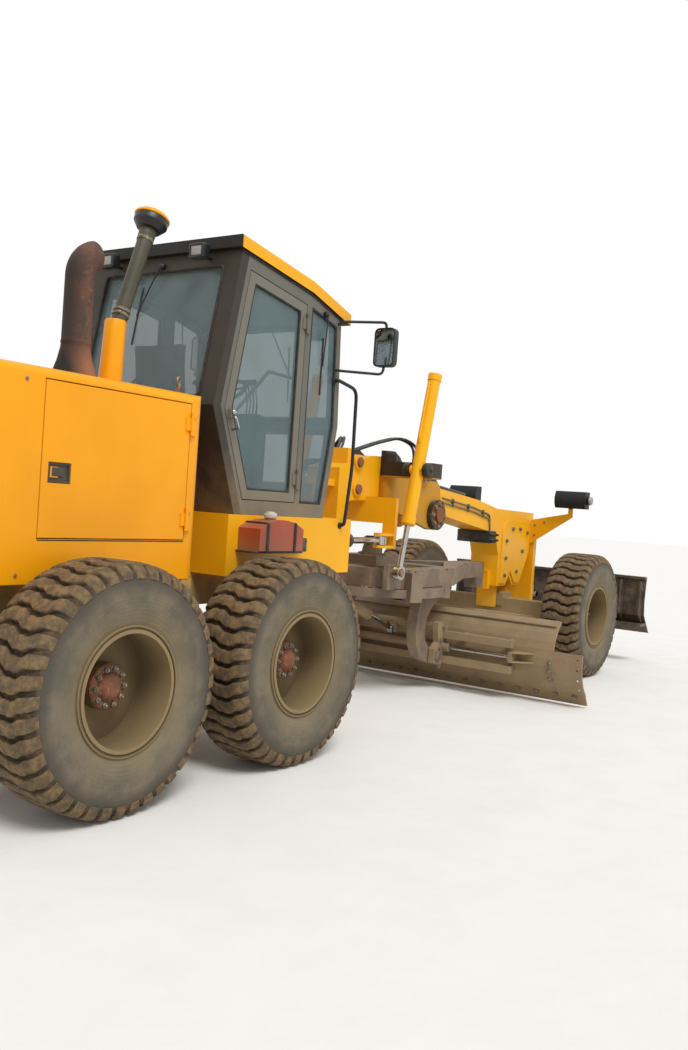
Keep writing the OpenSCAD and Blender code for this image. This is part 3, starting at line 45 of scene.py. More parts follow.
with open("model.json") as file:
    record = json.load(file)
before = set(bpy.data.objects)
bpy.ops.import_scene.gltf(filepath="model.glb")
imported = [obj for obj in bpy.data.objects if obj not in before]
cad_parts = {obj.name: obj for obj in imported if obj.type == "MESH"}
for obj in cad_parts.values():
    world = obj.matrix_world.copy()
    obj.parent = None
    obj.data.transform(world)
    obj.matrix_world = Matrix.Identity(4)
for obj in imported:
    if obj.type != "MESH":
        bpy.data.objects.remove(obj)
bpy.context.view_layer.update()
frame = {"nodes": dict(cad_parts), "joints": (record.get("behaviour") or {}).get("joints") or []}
joints = {j["name"]: j for j in frame["joints"]}


def joint_place(name):
    """Where a joint turns, in the object's frame."""
    return Vector(joints[name]["pos_m"])


# Places that the fittings are measured from
TANDEM_X = (joint_place("roll_rear_left").x + joint_place("roll_mid_left").x) / 2
SIDES = {"left": 1, "right": -1}
WHEELS = ["rear_left", "rear_right", "mid_left", "mid_right", "front_left", "front_right"]
LEFT, UP, FORWARD = Vector((0, 1, 0)), Vector((0, 0, 1)), Vector((1, 0, 0))


def at(x, y, z):
    """A place measured forward from the middle of the tandem, in metres."""
    return Vector((TANDEM_X + x, y, z))


def linear(code):
    """A colour written as sRGB hex, as linear red, green, blue and alpha."""
    parts = [int(code[i : i + 2], 16) / 255 for i in (1, 3, 5)]
    parts = [c / 12.92 if c <= 0.04045 else ((c + 0.055) / 1.055) ** 2.4 for c in parts]
    return (*parts, 1.0)


def colour_prop(name, description, code):
    """A colour that a user would change."""
    return bpy.props.FloatVectorProperty(
        name=name, description=description, subtype="COLOR", size=4, min=0, max=1,
        default=linear(code)
    )


def count_prop(name, description, default, low, high):
    """A number of repeats that a user would change."""
    return bpy.props.IntProperty(
        name=name, description=description, default=default, min=low, max=high)


def length_prop(name, description, default):
    """A length in metres that a user would change."""
    return bpy.props.FloatProperty(
        name=name, description=description, default=default, unit="LENGTH")


# Values that a user would change


class GraderSizes(bpy.types.PropertyGroup):
    tread_bars: count_prop("Tread bars", "Bars of tread round a tyre", 40, 30, 44)
    tread_wave: length_prop("Tread wave", "How far a bar bends along the tyre", 0.022)
    wheel_nuts: count_prop("Wheel nuts", "Nuts that hold a wheel", 10, 6, 16)
    seal_width: length_prop("Seal width", "Rubber round a cab window", 0.024)
    bolt_size: length_prop("Bolt size", "Width across a common bolt's head", 0.036)
    edge_bolts: count_prop("Edge bolts", "Bolts along the blade's cutting edge", 20, 8, 40)


class GraderColours(bpy.types.PropertyGroup):
    hood: colour_prop("Hood", "Enamel of the hood", "#F9A50C")
    frame: colour_prop("Frames", "Enamel of the frames", "#F8B210")
    roof: colour_prop("Roof", "Enamel of the cab's roof", "#F4AC10")
    cab: colour_prop("Cab", "Enamel of the cab", "#68665C")
    # painted shade: the cab's rear walls, darker brown than the cab's enamel
    cab_rear_shade: colour_prop("Cab rear", "Enamel of the cab's rear", "#3A332B")
    tank: colour_prop("Tank", "Plastic of the fluid tank", "#AA4A2C")
    glass: colour_prop("Glass", "Tint of the panes", "#86A2A6")
    dust: colour_prop("Dust", "Road dust on all low parts", "#9C8663")


def sizes():
    return bpy.context.scene.grader_sizes


def coloured(name):
    return tuple(getattr(bpy.context.scene.grader_colours, name))


def shaded(colour, factor):
    """A colour made darker or paler by a factor."""
    return tuple(min(1.0, c * factor) for c in colour[:3]) + (1.0,)


# Finishes


def feed(tree, socket, value):
    """Gives an input another node's output, a value, or a colour in sRGB hex."""
    if isinstance(value, bpy.types.NodeSocket):
        tree.links.new(value, socket)
    else:
        socket.default_value = linear(value) if isinstance(value, str) else value


def add_node(tree, kind, inputs=(), out=0, **settings):
    """Adds one node with its settings, its inputs by name or in order, and gives an output."""
    made = tree.nodes.new("ShaderNode" + kind)
    for name, value in settings.items():
        setattr(made, name, value)
    for name, value in inputs.items() if isinstance(inputs, dict) else enumerate(inputs):
        feed(tree, made.inputs[name], value)
    return made.outputs[out]


class Finish:
    """One finish while its nodes are added: a skin of colour and roughness, coated in turn."""

    def __init__(self, name, colour, roughness):
        self.material = bpy.data.materials.new(name)
        self.material.use_nodes = True
        self.tree = self.material.node_tree
        self.shader = self.tree.nodes["Principled BSDF"]
        self.place = self.node("TexCoord", out="Object")
        self.skin, self.rough = colour, roughness

    def node(self, kind, inputs=(), out=0, **settings):
        """Adds one node to this finish."""
        return add_node(self.tree, kind, inputs, out, **settings)

    def grain(self, size, detail=6.0, stretch=(1, 1, 1)):
        """Noise with a grain of that many millimetres, drawn out where stretch is small."""
        place = self.place
        if stretch != (1, 1, 1):
            place = self.node("Mapping", {"Vector": place, "Scale": stretch})
        noise = {"Vector": place, "Scale": 1000 / size, "Detail": detail, "Roughness": 0.66}
        return self.node("TexNoise", noise)

    def patches(self, size, low, high, amount=1.0, detail=6.0, stretch=(1, 1, 1)):
        """A mask that rises to amount where the grain passes from low to high."""
        noise = self.grain(size, detail, stretch)
        return self.node("MapRange", (noise, low, high, 0, amount), interpolation_type="SMOOTHSTEP")

    def coat(self, colour, mask, roughness=None):
        """Lays a coat over the skin where the mask shows, with a roughness of its own."""
        self.skin = self.node("Mix", {0: mask, 6: self.skin, 7: colour}, 2, data_type="RGBA")
        if roughness is not None:
            self.rough = self.node("Mix", (mask, (0, 0, 0), self.rough, roughness))

    def edges(self, radius, low=0.985, high=0.90):
        """Rounds the shading of sharp edges by that many millimetres, and masks those edges."""
        self.rounded = self.node("Bevel", {"Radius": radius / 1000}, samples=4)
        true = self.node("NewGeometry", out="Normal")
        facing = self.node("VectorMath", (self.rounded, true), "Value", operation="DOT_PRODUCT")
        return self.node("MapRange", (facing, low, high), interpolation_type="SMOOTHSTEP")

    def dust(self, top, reach, amount):
        """A mask of road dust: thick below a height and on upward faces, in patches."""
        height = self.node("SeparateXYZ", (self.place,), "Z")
        low = self.node("MapRange", (height, top, top - reach, 0, 0.85),
                        interpolation_type="SMOOTHSTEP")
        normal = self.node("NewGeometry", out="Normal")
        upward = self.node("MapRange", (self.node("SeparateXYZ", (normal,), "Z"), 0.5, 1.0, 0, 0.4))
        held = self.node("Math", (low, upward), operation="ADD")
        held = self.node("Math", (self.grain(150, 7.0), 0.8, held), operation="MULTIPLY_ADD")
        return self.node("MapRange", (held, 0.52, 1.25, 0, amount), interpolation_type="SMOOTHSTEP")

    def finish(self, height, depth, constants=None):
        """Joins the skin to the shader, raises it by a depth in millimetres, sets constants."""
        raised = {"Height": height, "Distance": depth / 1000, "Strength": 1.0}
        if hasattr(self, "rounded"):
            raised["Normal"] = self.rounded
        if depth:
            self.tree.links.new(self.node("Bump", raised), self.shader.inputs["Normal"])
        values = {"Base Color": self.skin, "Roughness": self.rough, **(constants or {})}
        for socket, value in values.items():
            feed(self.tree, self.shader.inputs[socket], value)
        return self.material


def enamel(name, colour, roughness, dust, top, reach, chips, parts=()):
    """Sprayed enamel on steel plate: an even gloss faded in large patches, parts in other colours
    (some sprayed, some painted shade), rain streaks of grime, chips along its edges down to brown
    steel, and dust."""
    made = Finish(name, colour, roughness)
    edge = made.edges(5)
    made.coat(shaded(colour, 0.86), made.patches(800, 0.40, 0.68, 0.55, detail=2.0))
    # parts in other colours: real paint, and painted shade where a part lies in shade
    for mask, other in parts:
        made.coat(other, mask(made), 0.5)
    made.coat("#6B5636", made.patches(45, 0.55, 0.82, 0.35 * dust, stretch=(1, 1, 0.06)))
    # flakes of 15 mm come off, first along the edges
    worn = made.node("Math", (edge, 0.2, made.grain(15, 5.0)), operation="MULTIPLY_ADD")
    bare = made.node("MapRange", (worn, 0.72, 0.78, 0, chips), interpolation_type="SMOOTHSTEP")
    made.coat("#4B3B31", bare, 0.7)
    made.coat(coloured("dust"), made.dust(top, reach, dust), 0.85)
    # orange peel is drawn at 6 mm, as coarse as shows, over dents of 300 mm
    skin = made.node("Math", (made.grain(6, 1.0), 0.05, made.grain(300, 1.0)),
                     operation="MULTIPLY_ADD")
    return made.finish(skin, 2.5, {"IOR": 1.5, "Specular IOR Level": 0.3})


def soil_steel(name, colour, bright, along, dust, rust, roughness=0.62):
    """Rolled plate that works in soil: brown-grey mill scale, rubbed bright in long scratches
    the way the soil slides, rust in patches and a crust of dry earth."""
    made = Finish(name, colour, roughness)
    edge = made.edges(4)
    made.coat(bright, made.patches(260, 0.35, 0.68))
    made.coat("#6E4426", made.patches(90, 0.50, 0.72, rust, detail=8.0), 0.85)
    scratches = made.patches(5, 0.55, 0.76, 0.5, detail=3.0, stretch=along)
    made.coat("#8F8A80", made.node("Math", (edge, scratches), operation="MAXIMUM"), 0.4)
    earth = made.patches(180, 0.40, 0.66, dust, detail=9.0)
    made.coat(coloured("dust"), earth, 0.92)
    # lumps of earth are 12 mm across
    crust = made.node("Math", (made.grain(12), earth), operation="MULTIPLY")
    return made.finish(crust, 3.0, {"Metallic": 0.1})


def rusted(name, colour, dark, pale, grain, extra=None):
    """Mild steel stripped of paint by heat or weather: a matt skin of brown and orange rust
    over darker scale, pitted at 4 mm."""
    made = Finish(name, dark, 0.75)
    made.coat(colour, made.patches(grain * 3, 0.32, 0.66, detail=8.0), 0.88)
    made.coat(pale, made.patches(grain, 0.54, 0.74, detail=8.0), 0.92)
    if extra:
        extra(made)
    return made.finish(made.grain(4, 5.0), 1.2)


def exhaust_skin(made):
    """A paler scorched foot, and soot at the mouth."""
    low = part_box("exhaust")[0]
    split = made.node("SeparateXYZ", (made.place,), "Z").node.outputs
    foot = made.node("MapRange", (split["Z"], low.z + 0.26, low.z + 0.06, 0, 0.8))
    made.coat("#A5704C", foot)
    made.coat("#15130F", made.node("MapRange", (split["X"], low.x + 0.13, low.x + 0.03)))


def tyre_rubber(name, colour):
    """Tyre rubber under road dust: side walls rubbed to a grey-green film, tan dust on the
    worn bars, and brown earth packed in the grooves."""
    made = Finish(name, colour, 0.88)
    lug = made.node("Attribute", attribute_name="lug", out="Fac")
    wall = made.node("Attribute", attribute_name="wall", out="Fac")
    made.coat("#766B58", made.patches(220, 0.36, 0.66))
    made.coat("#877657", made.node("MapRange", (wall, 0.50, 0.05, 0, 0.6)))
    made.coat("#48433A", made.node("MapRange", (wall, 0.60, 0.76, 0, 0.75)))
    tread = made.node("MapRange", (wall, 0.78, 0.90))
    packed = made.node("Mix", {0: made.patches(60, 0.40, 0.62), 6: "#2B241C", 7: "#57432E"},
                       2, data_type="RGBA")
    worn = made.node("Mix", {0: made.patches(45, 0.38, 0.66), 6: "#584937", 7: "#7F6846"},
                     2, data_type="RGBA")
    bars = made.node("Mix", {0: lug, 6: packed, 7: worn}, 2, data_type="RGBA")
    made.coat(bars, made.node("Math", (tread, lug), operation="MAXIMUM"))
    # rings moulded on the side wall stand 22 mm apart
    turns = made.node("Math", (wall, 96.0), operation="MULTIPLY")
    rings = made.node("Math", (turns,), operation="SINE")
    ridge = made.node("MapRange", (rings, 0.6, 1.0, 0, 0.5), interpolation_type="SMOOTHSTEP")
    inner = made.node("MapRange", (wall, 0.62, 0.55))
    ridge = made.node("Math", (ridge, inner), operation="MULTIPLY")
    skin = made.node("Math", (made.grain(9), 0.6, ridge), operation="MULTIPLY_ADD")
    return made.finish(skin, 2.0)


def moulded(name, colour, roughness, dust, top=3.5, reach=3.0):
    """Moulded polyethylene or ABS: even colour and soft gloss, rubbed paler on its edges, with
    a fine grain drawn at 2 mm, and dust."""
    made = Finish(name, colour, roughness)
    edge = made.edges(5)
    made.coat(shaded(colour, 0.72), made.patches(300, 0.35, 0.7, detail=3.0))
    pale = (*(min(1.0, c * 1.5 + 0.03) for c in colour[:3]), 1.0)
    made.coat(pale, made.node("Math", (edge, 0.4), operation="MULTIPLY"))
    made.coat(coloured("dust"), made.dust(top, reach, dust), 0.85)
    return made.finish(made.grain(2, 1.0), 0.2, {"IOR": 1.5})


def black_rubber(name, colour, dust=0.35, roughness=0.75):
    """Carbon-black rubber, moulded: matt and slightly grey, with dust in its hollows."""
    made = Finish(name, colour, roughness)
    made.coat("#655A49", made.patches(70, 0.38, 0.75, dust))
    return made.finish(made.grain(3, 2.0), 0.3)


def pane_glass(name, colour):
    """Toughened glass with a green-blue tint, smooth under an uneven film of dust."""
    made = Finish(name, shaded(colour, 0.66), 0.02)
    made.coat(shaded(colour, 0.46), made.patches(320, 0.38, 0.80))
    # a thin pane bends no view, so it is seen through by its share of cover
    return made.finish(None, 0, {"Alpha": 0.43, "IOR": 1.52})


def bright_steel(name, colour, dust=0.3, roughness=0.14):
    """Hard chrome ground on a rod, or silvered glass: mirror bright under an oily film."""
    made = Finish(name, colour, roughness)
    made.coat("#7A6A50", made.patches(60, 0.48, 0.80, dust), 0.5)
    # grinding marks are drawn at 2 mm
    return made.finish(made.grain(2, 1.0), 0.03, {"Metallic": 1.0})


def zinc_plate(name, colour):
    """Zinc-plated bolts and nuts: pale grey and dull, with earth round their foot."""
    made = Finish(name, colour, 0.42)
    made.edges(2)
    made.coat("#6F5F4A", made.patches(22, 0.36, 0.66), 0.75)
    return made.finish(made.grain(2, 2.0), 0.2, {"Metallic": 0.5})


def fluted_lens(name, colour, clearness=0.35):
    """Moulded acrylic lens with upright flutes 9 mm apart."""
    made = Finish(name, colour, 0.12)
    across = made.node("SeparateXYZ", (made.place,), "Y")
    turns = made.node("Math", (across, 2 * math.pi * 1000 / 9), operation="MULTIPLY")
    made.coat(coloured("dust"), made.patches(40, 0.5, 0.8, 0.3), 0.5)
    flutes = made.node("Math", (turns,), operation="SINE")
    return made.finish(flutes, 0.5, {"Transmission Weight": clearness, "IOR": 1.49})


def seat_vinyl(name, colour):
    """Vinyl-coated seat cloth: matt black with a pressed grain of 4 mm and paler worn crowns."""
    made = Finish(name, colour, 0.6)
    made.coat("#34353A", made.patches(120, 0.45, 0.75, 0.6, detail=4.0))
    cells = made.node("TexVoronoi", {"Vector": made.place, "Scale": 1000 / 4})
    return made.finish(cells, 0.4, {"Sheen Weight": 0.15})


# Half the width in metres over which a mask's border fades
FADE = 0.002


def behind_cab(made):
    """Masks the cab's two sloping rear walls and their corner posts, where shade is painted."""
    corner, masks = at(0.365, 0, 2.30), []
    for wall in (Vector((1.045, 0, -0.195)), Vector((0.70, 0, 0.275))):
        wall.normalize()
        reach = made.node("VectorMath", (made.place, tuple(wall)), "Value", operation="DOT_PRODUCT")
        near = wall.dot(corner)
        masks.append(made.node("MapRange", (reach, near + 0.074, near + 0.068)))
    return made.node("Math", masks, operation="MAXIMUM")


def beyond(axis, limit, both=False):
    """Masks what lies beyond a limit along an axis, on both sides of the middle if asked."""

    def mask(made):
        reach = made.node("VectorMath", (made.place, axis), "Value", operation="DOT_PRODUCT")
        if both:
            reach = made.node("Math", (reach,), operation="ABSOLUTE")
        return made.node("MapRange", (reach, limit - FADE, limit + FADE))

    return mask


def underneath(made):
    """Masks faces that look down, for painted shade under the roof."""
    normal = made.node("NewGeometry", out="Normal")
    return made.node("MapRange", (made.node("SeparateXYZ", (normal,), "Z"), -0.4, -0.6))


def all_of(*masks):
    """Masks where every one of several masks shows."""

    def mask(made):
        held = masks[0](made)
        for other in masks[1:]:
            held = made.node("Math", (held, other(made)), operation="MINIMUM")
        return held

    return mask


def in_the_rims(made):
    """Masks the wheels' dishes: mud and shade deepen from the flange to the disc."""
    flat, near = made.node("VectorMath", (made.place, (1, 0, 1)), operation="MULTIPLY"), None
    for wheel in WHEELS[::2]:
        hub = joint_place("roll_" + wheel)
        reach = made.node("VectorMath", (flat, (hub.x, 0, hub.z)), "Value", operation="DISTANCE")
        near = made.node("Math", (near, reach), operation="MINIMUM") if near else reach
    across = made.node("SeparateXYZ", (made.place,), "Y")
    across = made.node("Math", (across,), operation="ABSOLUTE")
    flange, disc = 1.262, 1.10
    deep = made.node("MapRange", (across, flange, disc, 0, 0.75))
    seam = made.node("MapRange", (near, 0.326, 0.331, 0, 0.9))
    outside = made.node("MapRange", (near, 0.300, 0.312))
    bead = made.node("MapRange", (near, 0.343, 0.338))
    seam = made.node("Math", (seam, bead), operation="MULTIPLY")
    barrel = made.node("MapRange", (near, 0.200, 0.285, 0.45, 1.0))
    deep = made.node("Math", (deep, barrel), operation="MULTIPLY")
    inside = made.node("Math", (1.0, outside), operation="SUBTRACT")
    deep = made.node("Math", (deep, inside), operation="MULTIPLY")
    return made.node("Math", (deep, seam), operation="MAXIMUM")


def round_boss(centre, inner, outer):
    """Masks a ring round a crosswise axis."""

    def mask(made):
        flat = made.node("VectorMath", (made.place, (1, 0, 1)), operation="MULTIPLY")
        middle = (centre.x, 0, centre.z)
        reach = made.node("VectorMath", (flat, middle), "Value", operation="DISTANCE")
        near = made.node("MapRange", (reach, outer + FADE, outer - FADE))
        far = made.node("MapRange", (reach, inner - FADE, inner + FADE))
        return made.node("Math", (near, far), operation="MINIMUM")

    return mask


MATERIALS = {}


def recipe(name):
    """A finish's recipe, its material's name and the recipe's values in order."""
    black, beside_neck = "#1E1B17", beyond((0, 1, 0), 0.222, both=True)
    # painted shade: the roof's downward faces are painted near black; its rear 12 mm is black as
    # well
    under_roof = [(beyond((-1, 0, 0), -0.012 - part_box("cab_roof")[0].x), black),
                  (underneath, black)]
    lamp_case = all_of(beyond((0, 1, 0), 0.509, both=True), beyond((0, 0, 1), 1.84))
    # painted shade on the lift saddle, which sits in shade: dark brown above 2.0 m, a brown boss
    # with a darker groove round it
    boss, groove = (all_of(beside_neck, round_boss(at(4.26, 0, 1.67), inner, 0.152))
                    for inner in (0.0, 0.128))
    saddle = [(beyond((0, 0, 1), 2.0), "#352B20"), (boss, "#7B4A20"), (groove, "#2B241B")]
    hood, frames = coloured("hood"), coloured("frame")
    return {
        "hood_enamel": (enamel, "hood_enamel", hood, 0.36, 0.22, 1.25, 0.2, 0.15),
        "frame_enamel": (enamel, "frame_enamel", frames, 0.40, 0.4, 1.3, 1.2, 0.6),
        "base_enamel": (enamel, "cab_base_enamel", frames, 0.40, 0.25, 0.95, 0.6, 0.3),
        "low_enamel": (enamel, "low_frame_enamel", frames, 0.5, 1.0, 1.7, 0.9, 0.9),
        "roof_enamel": (enamel, "roof_enamel", coloured("roof"), 0.36, 0.35, 3.0, 1.0, 0.1,
                        under_roof),
        "lamp_enamel": (enamel, "lamp_bracket_enamel", frames, 0.40, 0.5, 1.3, 1.2, 0.4,
                        [(lamp_case, "#1D1E1F")]),
        # the saddle's darker ochre is painted shade
        "saddle_enamel": (enamel, "saddle_enamel", "#C48A1A", 0.5, 0.8, 2.2, 1.6, 0.9, saddle),
        # the cab's rear walls get a painted shade in dark brown
        "cab_enamel": (enamel, "cab_enamel", coloured("cab"), 0.42, 0.6, 2.4, 1.2, 0.2,
                       [(behind_cab, coloured("cab_rear_shade"))]),
        "door_enamel": (enamel, "cab_door_enamel", "#746F63", 0.40, 0.55, 2.4, 1.2, 0.2),
        "black_enamel": (enamel, "black_enamel", "#24272A", 0.45, 0.7, 2.0, 1.6, 0.4),
        "axle_enamel": (enamel, "dusty_axle_enamel", "#3A3833", 0.55, 1.0, 1.6, 0.8, 0.6),
        "rim_enamel": (enamel, "dusty_rim_enamel", "#86734F", 0.6, 0.22, 2.6, 0.6, 0.6,
                       [(in_the_rims, "#2A2015")]),
        "dozer_plate": (soil_steel, "dozer_plate", "#332E2A", "#453B31", (1, 0.05, 1), 0.3,
                        0.15, 0.5),
        "blade_plate": (soil_steel, "blade_plate", "#8B7659", "#9C8564", (1, 0.05, 1), 0.7, 0.2),
        "drawbar_plate": (soil_steel, "drawbar_plate", "#6F6155", "#8A7968", (0.08, 1, 1), 0.6,
                          0.3),
        "exhaust_steel": (rusted, "rusted_exhaust_steel", "#6B4A3A", "#3E2E28", "#8A5F45", 50,
                          exhaust_skin),
        "hub_rust": (rusted, "rusted_hub", "#8E5A3C", "#5C3A29", "#B07A52", 40),
        "tyre_rubber": (tyre_rubber, "dusty_tyre_rubber", "#5C574A"),
        "black_rubber": (black_rubber, "black_rubber", "#191A1A"),
        "hose_rubber": (black_rubber, "hose_rubber", "#141414", 0.45, 0.55),
        "tank_plastic": (moulded, "red_tank_plastic", coloured("tank"), 0.42, 0.55, 1.7, 0.6),
        "black_plastic": (moulded, "black_plastic", "#1C1D1F", 0.4, 0.25),
        "grey_plastic": (moulded, "grey_console_plastic", "#34373A", 0.5, 0.1),
        "intake_plastic": (moulded, "grey_intake_plastic", "#4A4735", 0.5, 0.3),
        "pale_plastic": (moulded, "pale_cap_plastic", "#C9C2B4", 0.4, 0.5, 1.8, 0.5),
        "pane_glass": (pane_glass, "tinted_pane_glass", coloured("glass")),
        "mirror_glass": (bright_steel, "silvered_mirror_glass", "#D5D9DA", 0.1, 0.04),
        "chrome": (bright_steel, "chromed_rod", "#B5B2AB", 0.6),
        "zinc": (zinc_plate, "zinc_plated_steel", "#8F877A"),
        "clear_lens": (fluted_lens, "clear_lens", "#E4E6E2", 0.6),
        "amber_lens": (fluted_lens, "amber_lens", "#D9730E"),
        "red_lens": (fluted_lens, "red_lens", "#A8150F"),
        "seat_vinyl": (seat_vinyl, "black_seat_vinyl", "#1D1E22"),
    }[name]


def finish(name):
    """The finish of that name, made once."""
    if name not in MATERIALS:
        make, material, *values = recipe(name)
        values = [linear(v) if isinstance(v, str) else v for v in values]
        MATERIALS[name] = make(material, *values)
    return MATERIALS[name]


# Tools of the bench


def lone():
    """Back in object mode with nothing selected."""
    if bpy.context.object and bpy.context.object.mode != "OBJECT":
        bpy.ops.object.mode_set(mode="OBJECT")
    bpy.ops.object.select_all(action="DESELECT")


def active(piece):
    """Makes a piece the active one, alone in the selection."""
    lone()
    piece.select_set(True)
    bpy.context.view_layer.objects.active = piece
    return piece


def edited(piece):
    """Opens a piece in edit mode with all of it selected."""
    active(piece)
    bpy.ops.object.mode_set(mode="EDIT")
    bpy.ops.mesh.select_all(action="SELECT")
    return piece


def start(kind, name, **settings):
    """A primitive in edit mode with all of it selected."""
    lone()
    getattr(bpy.ops.mesh, f"primitive_{kind}_add")(**settings)
    piece = bpy.context.object
    piece.name = piece.data.name = name
    return edited(piece)


def pick(kind, test):
    """In edit mode, selects the edges or faces that pass the test."""
    bpy.ops.mesh.select_mode(type=kind)
    bpy.ops.mesh.select_all(action="DESELECT")
    mesh = bmesh.from_edit_mesh(bpy.context.object.data)
    found = [part for part in (mesh.edges if kind == "EDGE" else mesh.faces) if test(part)]
    for part in found:
        part.select_set(True)
    mesh.select_flush_mode()
    bmesh.update_edit_mesh(bpy.context.object.data)
    if not found:
        raise RuntimeError(f"{bpy.context.object.name}: nothing was picked")


def extrude(way):
    """In edit mode, extrudes what is selected by a vector."""
    bpy.ops.mesh.extrude_region_move(TRANSFORM_OT_translate={"value": way})


def bevelled(width, segments=2):
    """In edit mode, bevels what is selected."""
    bpy.ops.mesh.bevel(offset=width, segments=segments, affect="EDGES", clamp_overlap=True)


def facing(axis, least=0.9):
    """A test of faces that look along an axis."""
    return lambda face: face.normal.dot(Vector(axis)) > least


def longer(axis, length):
    """A test of edges that run further than a length along an axis."""
    return lambda edge: abs(edge.verts[0].co[axis] - edge.verts[1].co[axis]) > length


def inset(test, width, way=None):
    """In edit mode, insets the faces that pass the test, and extrudes them by a vector."""
    pick("FACE", test)
    bpy.ops.mesh.inset(thickness=width)
    if way:
        extrude(way)


def apply(piece, name, kind, **settings):
    """Adds a modifier and applies it."""
    modifier = active(piece).modifiers.new(name, kind)
    for setting, value in settings.items():
        setattr(modifier, setting, value)
    bpy.ops.object.modifier_apply(modifier=name)


def moved(places):
    """Matrices that move a template to each place."""
    return [Matrix.Translation(p) for p in places]


def stand(axis, turn=0.0):
    """A matrix that stands what was made upright along an axis."""
    upright = Vector(axis).to_track_quat("Z", "Y").to_matrix().to_4x4()
    return upright @ Matrix.Rotation(turn, 4, "Z")


def spots(places, axis):
    """Matrices that stand a template along an axis at each place."""
    return [move @ stand(axis) for move in moved(places)]


def round_spots(count, axis="Z", place=(0, 0, 0)):
    """Matrices that repeat a template, moved to a place, round an axis."""
    return [Matrix.Rotation(2 * math.pi * k / count, 4, axis) @ Matrix.Translation(place)
            for k in range(count)]


def ring(centre, axis, radius, count, first=0.0):
    """Places round an axis."""
    return [Vector(centre) + stand(axis).to_3x3() @ polar(radius, first + 2 * math.pi * k / count)
            for k in range(count)]


def polar(radius, angle):
    """A place on the level, by its radius and angle."""
    return Vector((radius * math.cos(angle), radius * math.sin(angle), 0))


def on_side(side):
    """A place's function for one side: 1 is left and -1 is right."""
    return lambda x, y, z: at(x, side * y, z)


def row(low, high, count):
    """Evenly spaced values from low to high."""
    return [low + (high - low) * k / (count - 1) for k in range(count)]


def place(piece, where, axis=UP):
    """Stands a piece that was made upright at the origin along an axis at its place."""
    piece.data.transform(Matrix.Translation(where) @ stand(axis))
    return piece


def copy_of(template, matrix, name="copy"):
    """A template's copy with a mesh of its own, moved by a matrix."""
    copy = template.copy()
    copy.data = template.data.copy()
    bpy.context.scene.collection.objects.link(copy)
    copy.name = copy.data.name = name
    copy.data.transform(matrix)
    return copy


def copies(template, name, matrices):
    """A template's copy at each matrix, joined into one piece."""
    lone()
    made = [copy_of(template, matrix) for matrix in matrices]
    bpy.data.objects.remove(template)
    return joined(made, name)


def joined(pieces, name):
    """Several pieces made one."""
    active(pieces[0])
    for piece in pieces:
        piece.select_set(True)
    if len(pieces) > 1:
        bpy.ops.object.join()
    pieces[0].name = pieces[0].data.name = name
    return pieces[0]


# Points closer than this are made one, in metres
WELD = 0.00002


def done(piece, body, material, smooth=35, outward=True):
    """Finishes a piece: one finish, smooth under an angle, riding on its body."""
    if outward:
        edited(piece)
        bpy.ops.mesh.remove_doubles(threshold=WELD)
        bpy.ops.mesh.normals_make_consistent(inside=False)
    active(piece)
    piece.data.materials.clear()
    piece.data.materials.append(finish(material))
    bpy.ops.object.shade_smooth_by_angle(angle=math.radians(smooth))
    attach(piece, body)
    return piece


def slab(name, low, high):
    """A block between two corners, in edit mode with all of it selected."""
    low, high = Vector(low), Vector(high)
    piece = start("cube", name, size=1)
    bpy.ops.transform.resize(value=high - low, center_override=(0, 0, 0))
    bpy.ops.transform.translate(value=(low + high) / 2)
    return piece


def slab_round(name, middle, size):
    """A block of a size round its middle, in edit mode with all of it selected."""
    half = Vector(size) / 2
    return slab(name, middle - half, middle + half)


def block(name, low, high, bevel=0.004, segments=2):
    """A block between two corners with all its edges rounded."""
    piece = slab(name, low, high)
    if bevel:
        bevelled(bevel, segments)
    lone()
    return piece


def turned(name, rings, sides=32, capped=True):
    """A round piece on the upright axis: a circle extruded and scaled through rings, each a
    height and a radius."""
    fill = "NGON" if capped else "NOTHING"
    (height, radius), *rest = rings
    piece = start("circle", name, vertices=sides, radius=radius, fill_type=fill, location=(0, 0, 0))
    bpy.ops.transform.translate(value=(0, 0, height))
    for next_height, next_radius in rest:
        extrude((0, 0, next_height - height))
        scale = next_radius / radius
        bpy.ops.transform.resize(value=(scale, scale, 1), center_override=(0, 0, next_height))
        height, radius = next_height, next_radius
    lone()
    return piece


def rounded_path(points, radius, steps=5):
    """A path with its corners rounded."""
    points = [Vector(p) for p in points]
    path = [points[0]]
    for before, corner, after in zip(points, points[1:], points[2:]):
        into, out = before - corner, after - corner
        reach = min(radius, into.length * 0.48, out.length * 0.48)
        first, last = corner + into.normalized() * reach, corner + out.normalized() * reach
        for i in range(steps + 1):
            t = i / steps
            path.append((1 - t) ** 2 * first + 2 * t * (1 - t) * corner + t * t * last)
    return path + [points[-1]]


def tube(name, points, radius, bend=0.05, sides=4):
    """A round tube along a path with rounded corners and closed ends."""
    curve = bpy.data.curves.new(name, "CURVE")
    curve.dimensions, curve.bevel_depth, curve.bevel_resolution = "3D", radius, sides
    curve.use_fill_caps = True
    path = rounded_path(points, bend)
    spline = curve.splines.new("POLY")
    spline.points.add(len(path) - 1)
    for point, spot in zip(spline.points, path):
        point.co = (*spot, 1)
    piece = bpy.data.objects.new(name, curve)
    bpy.context.scene.collection.objects.link(piece)
    active(piece)
    bpy.ops.object.convert(target="MESH")
    return bpy.context.object


def hex_bolt(size, height=0.62):
    """A hexagon head with a chamfered crown on a round washer, standing on the origin."""
    half = size / math.sqrt(3)
    crown = height * size
    head = turned("head", [(0.1 * size, half), (crown * 0.85, half), (crown, half * 0.84)], 6)
    rim = size * 0.66
    washer = turned("washer", [(-0.002, rim), (0.09 * size, rim), (0.12 * size, size * 0.6)], 16)
    return joined([head, washer], "bolt")


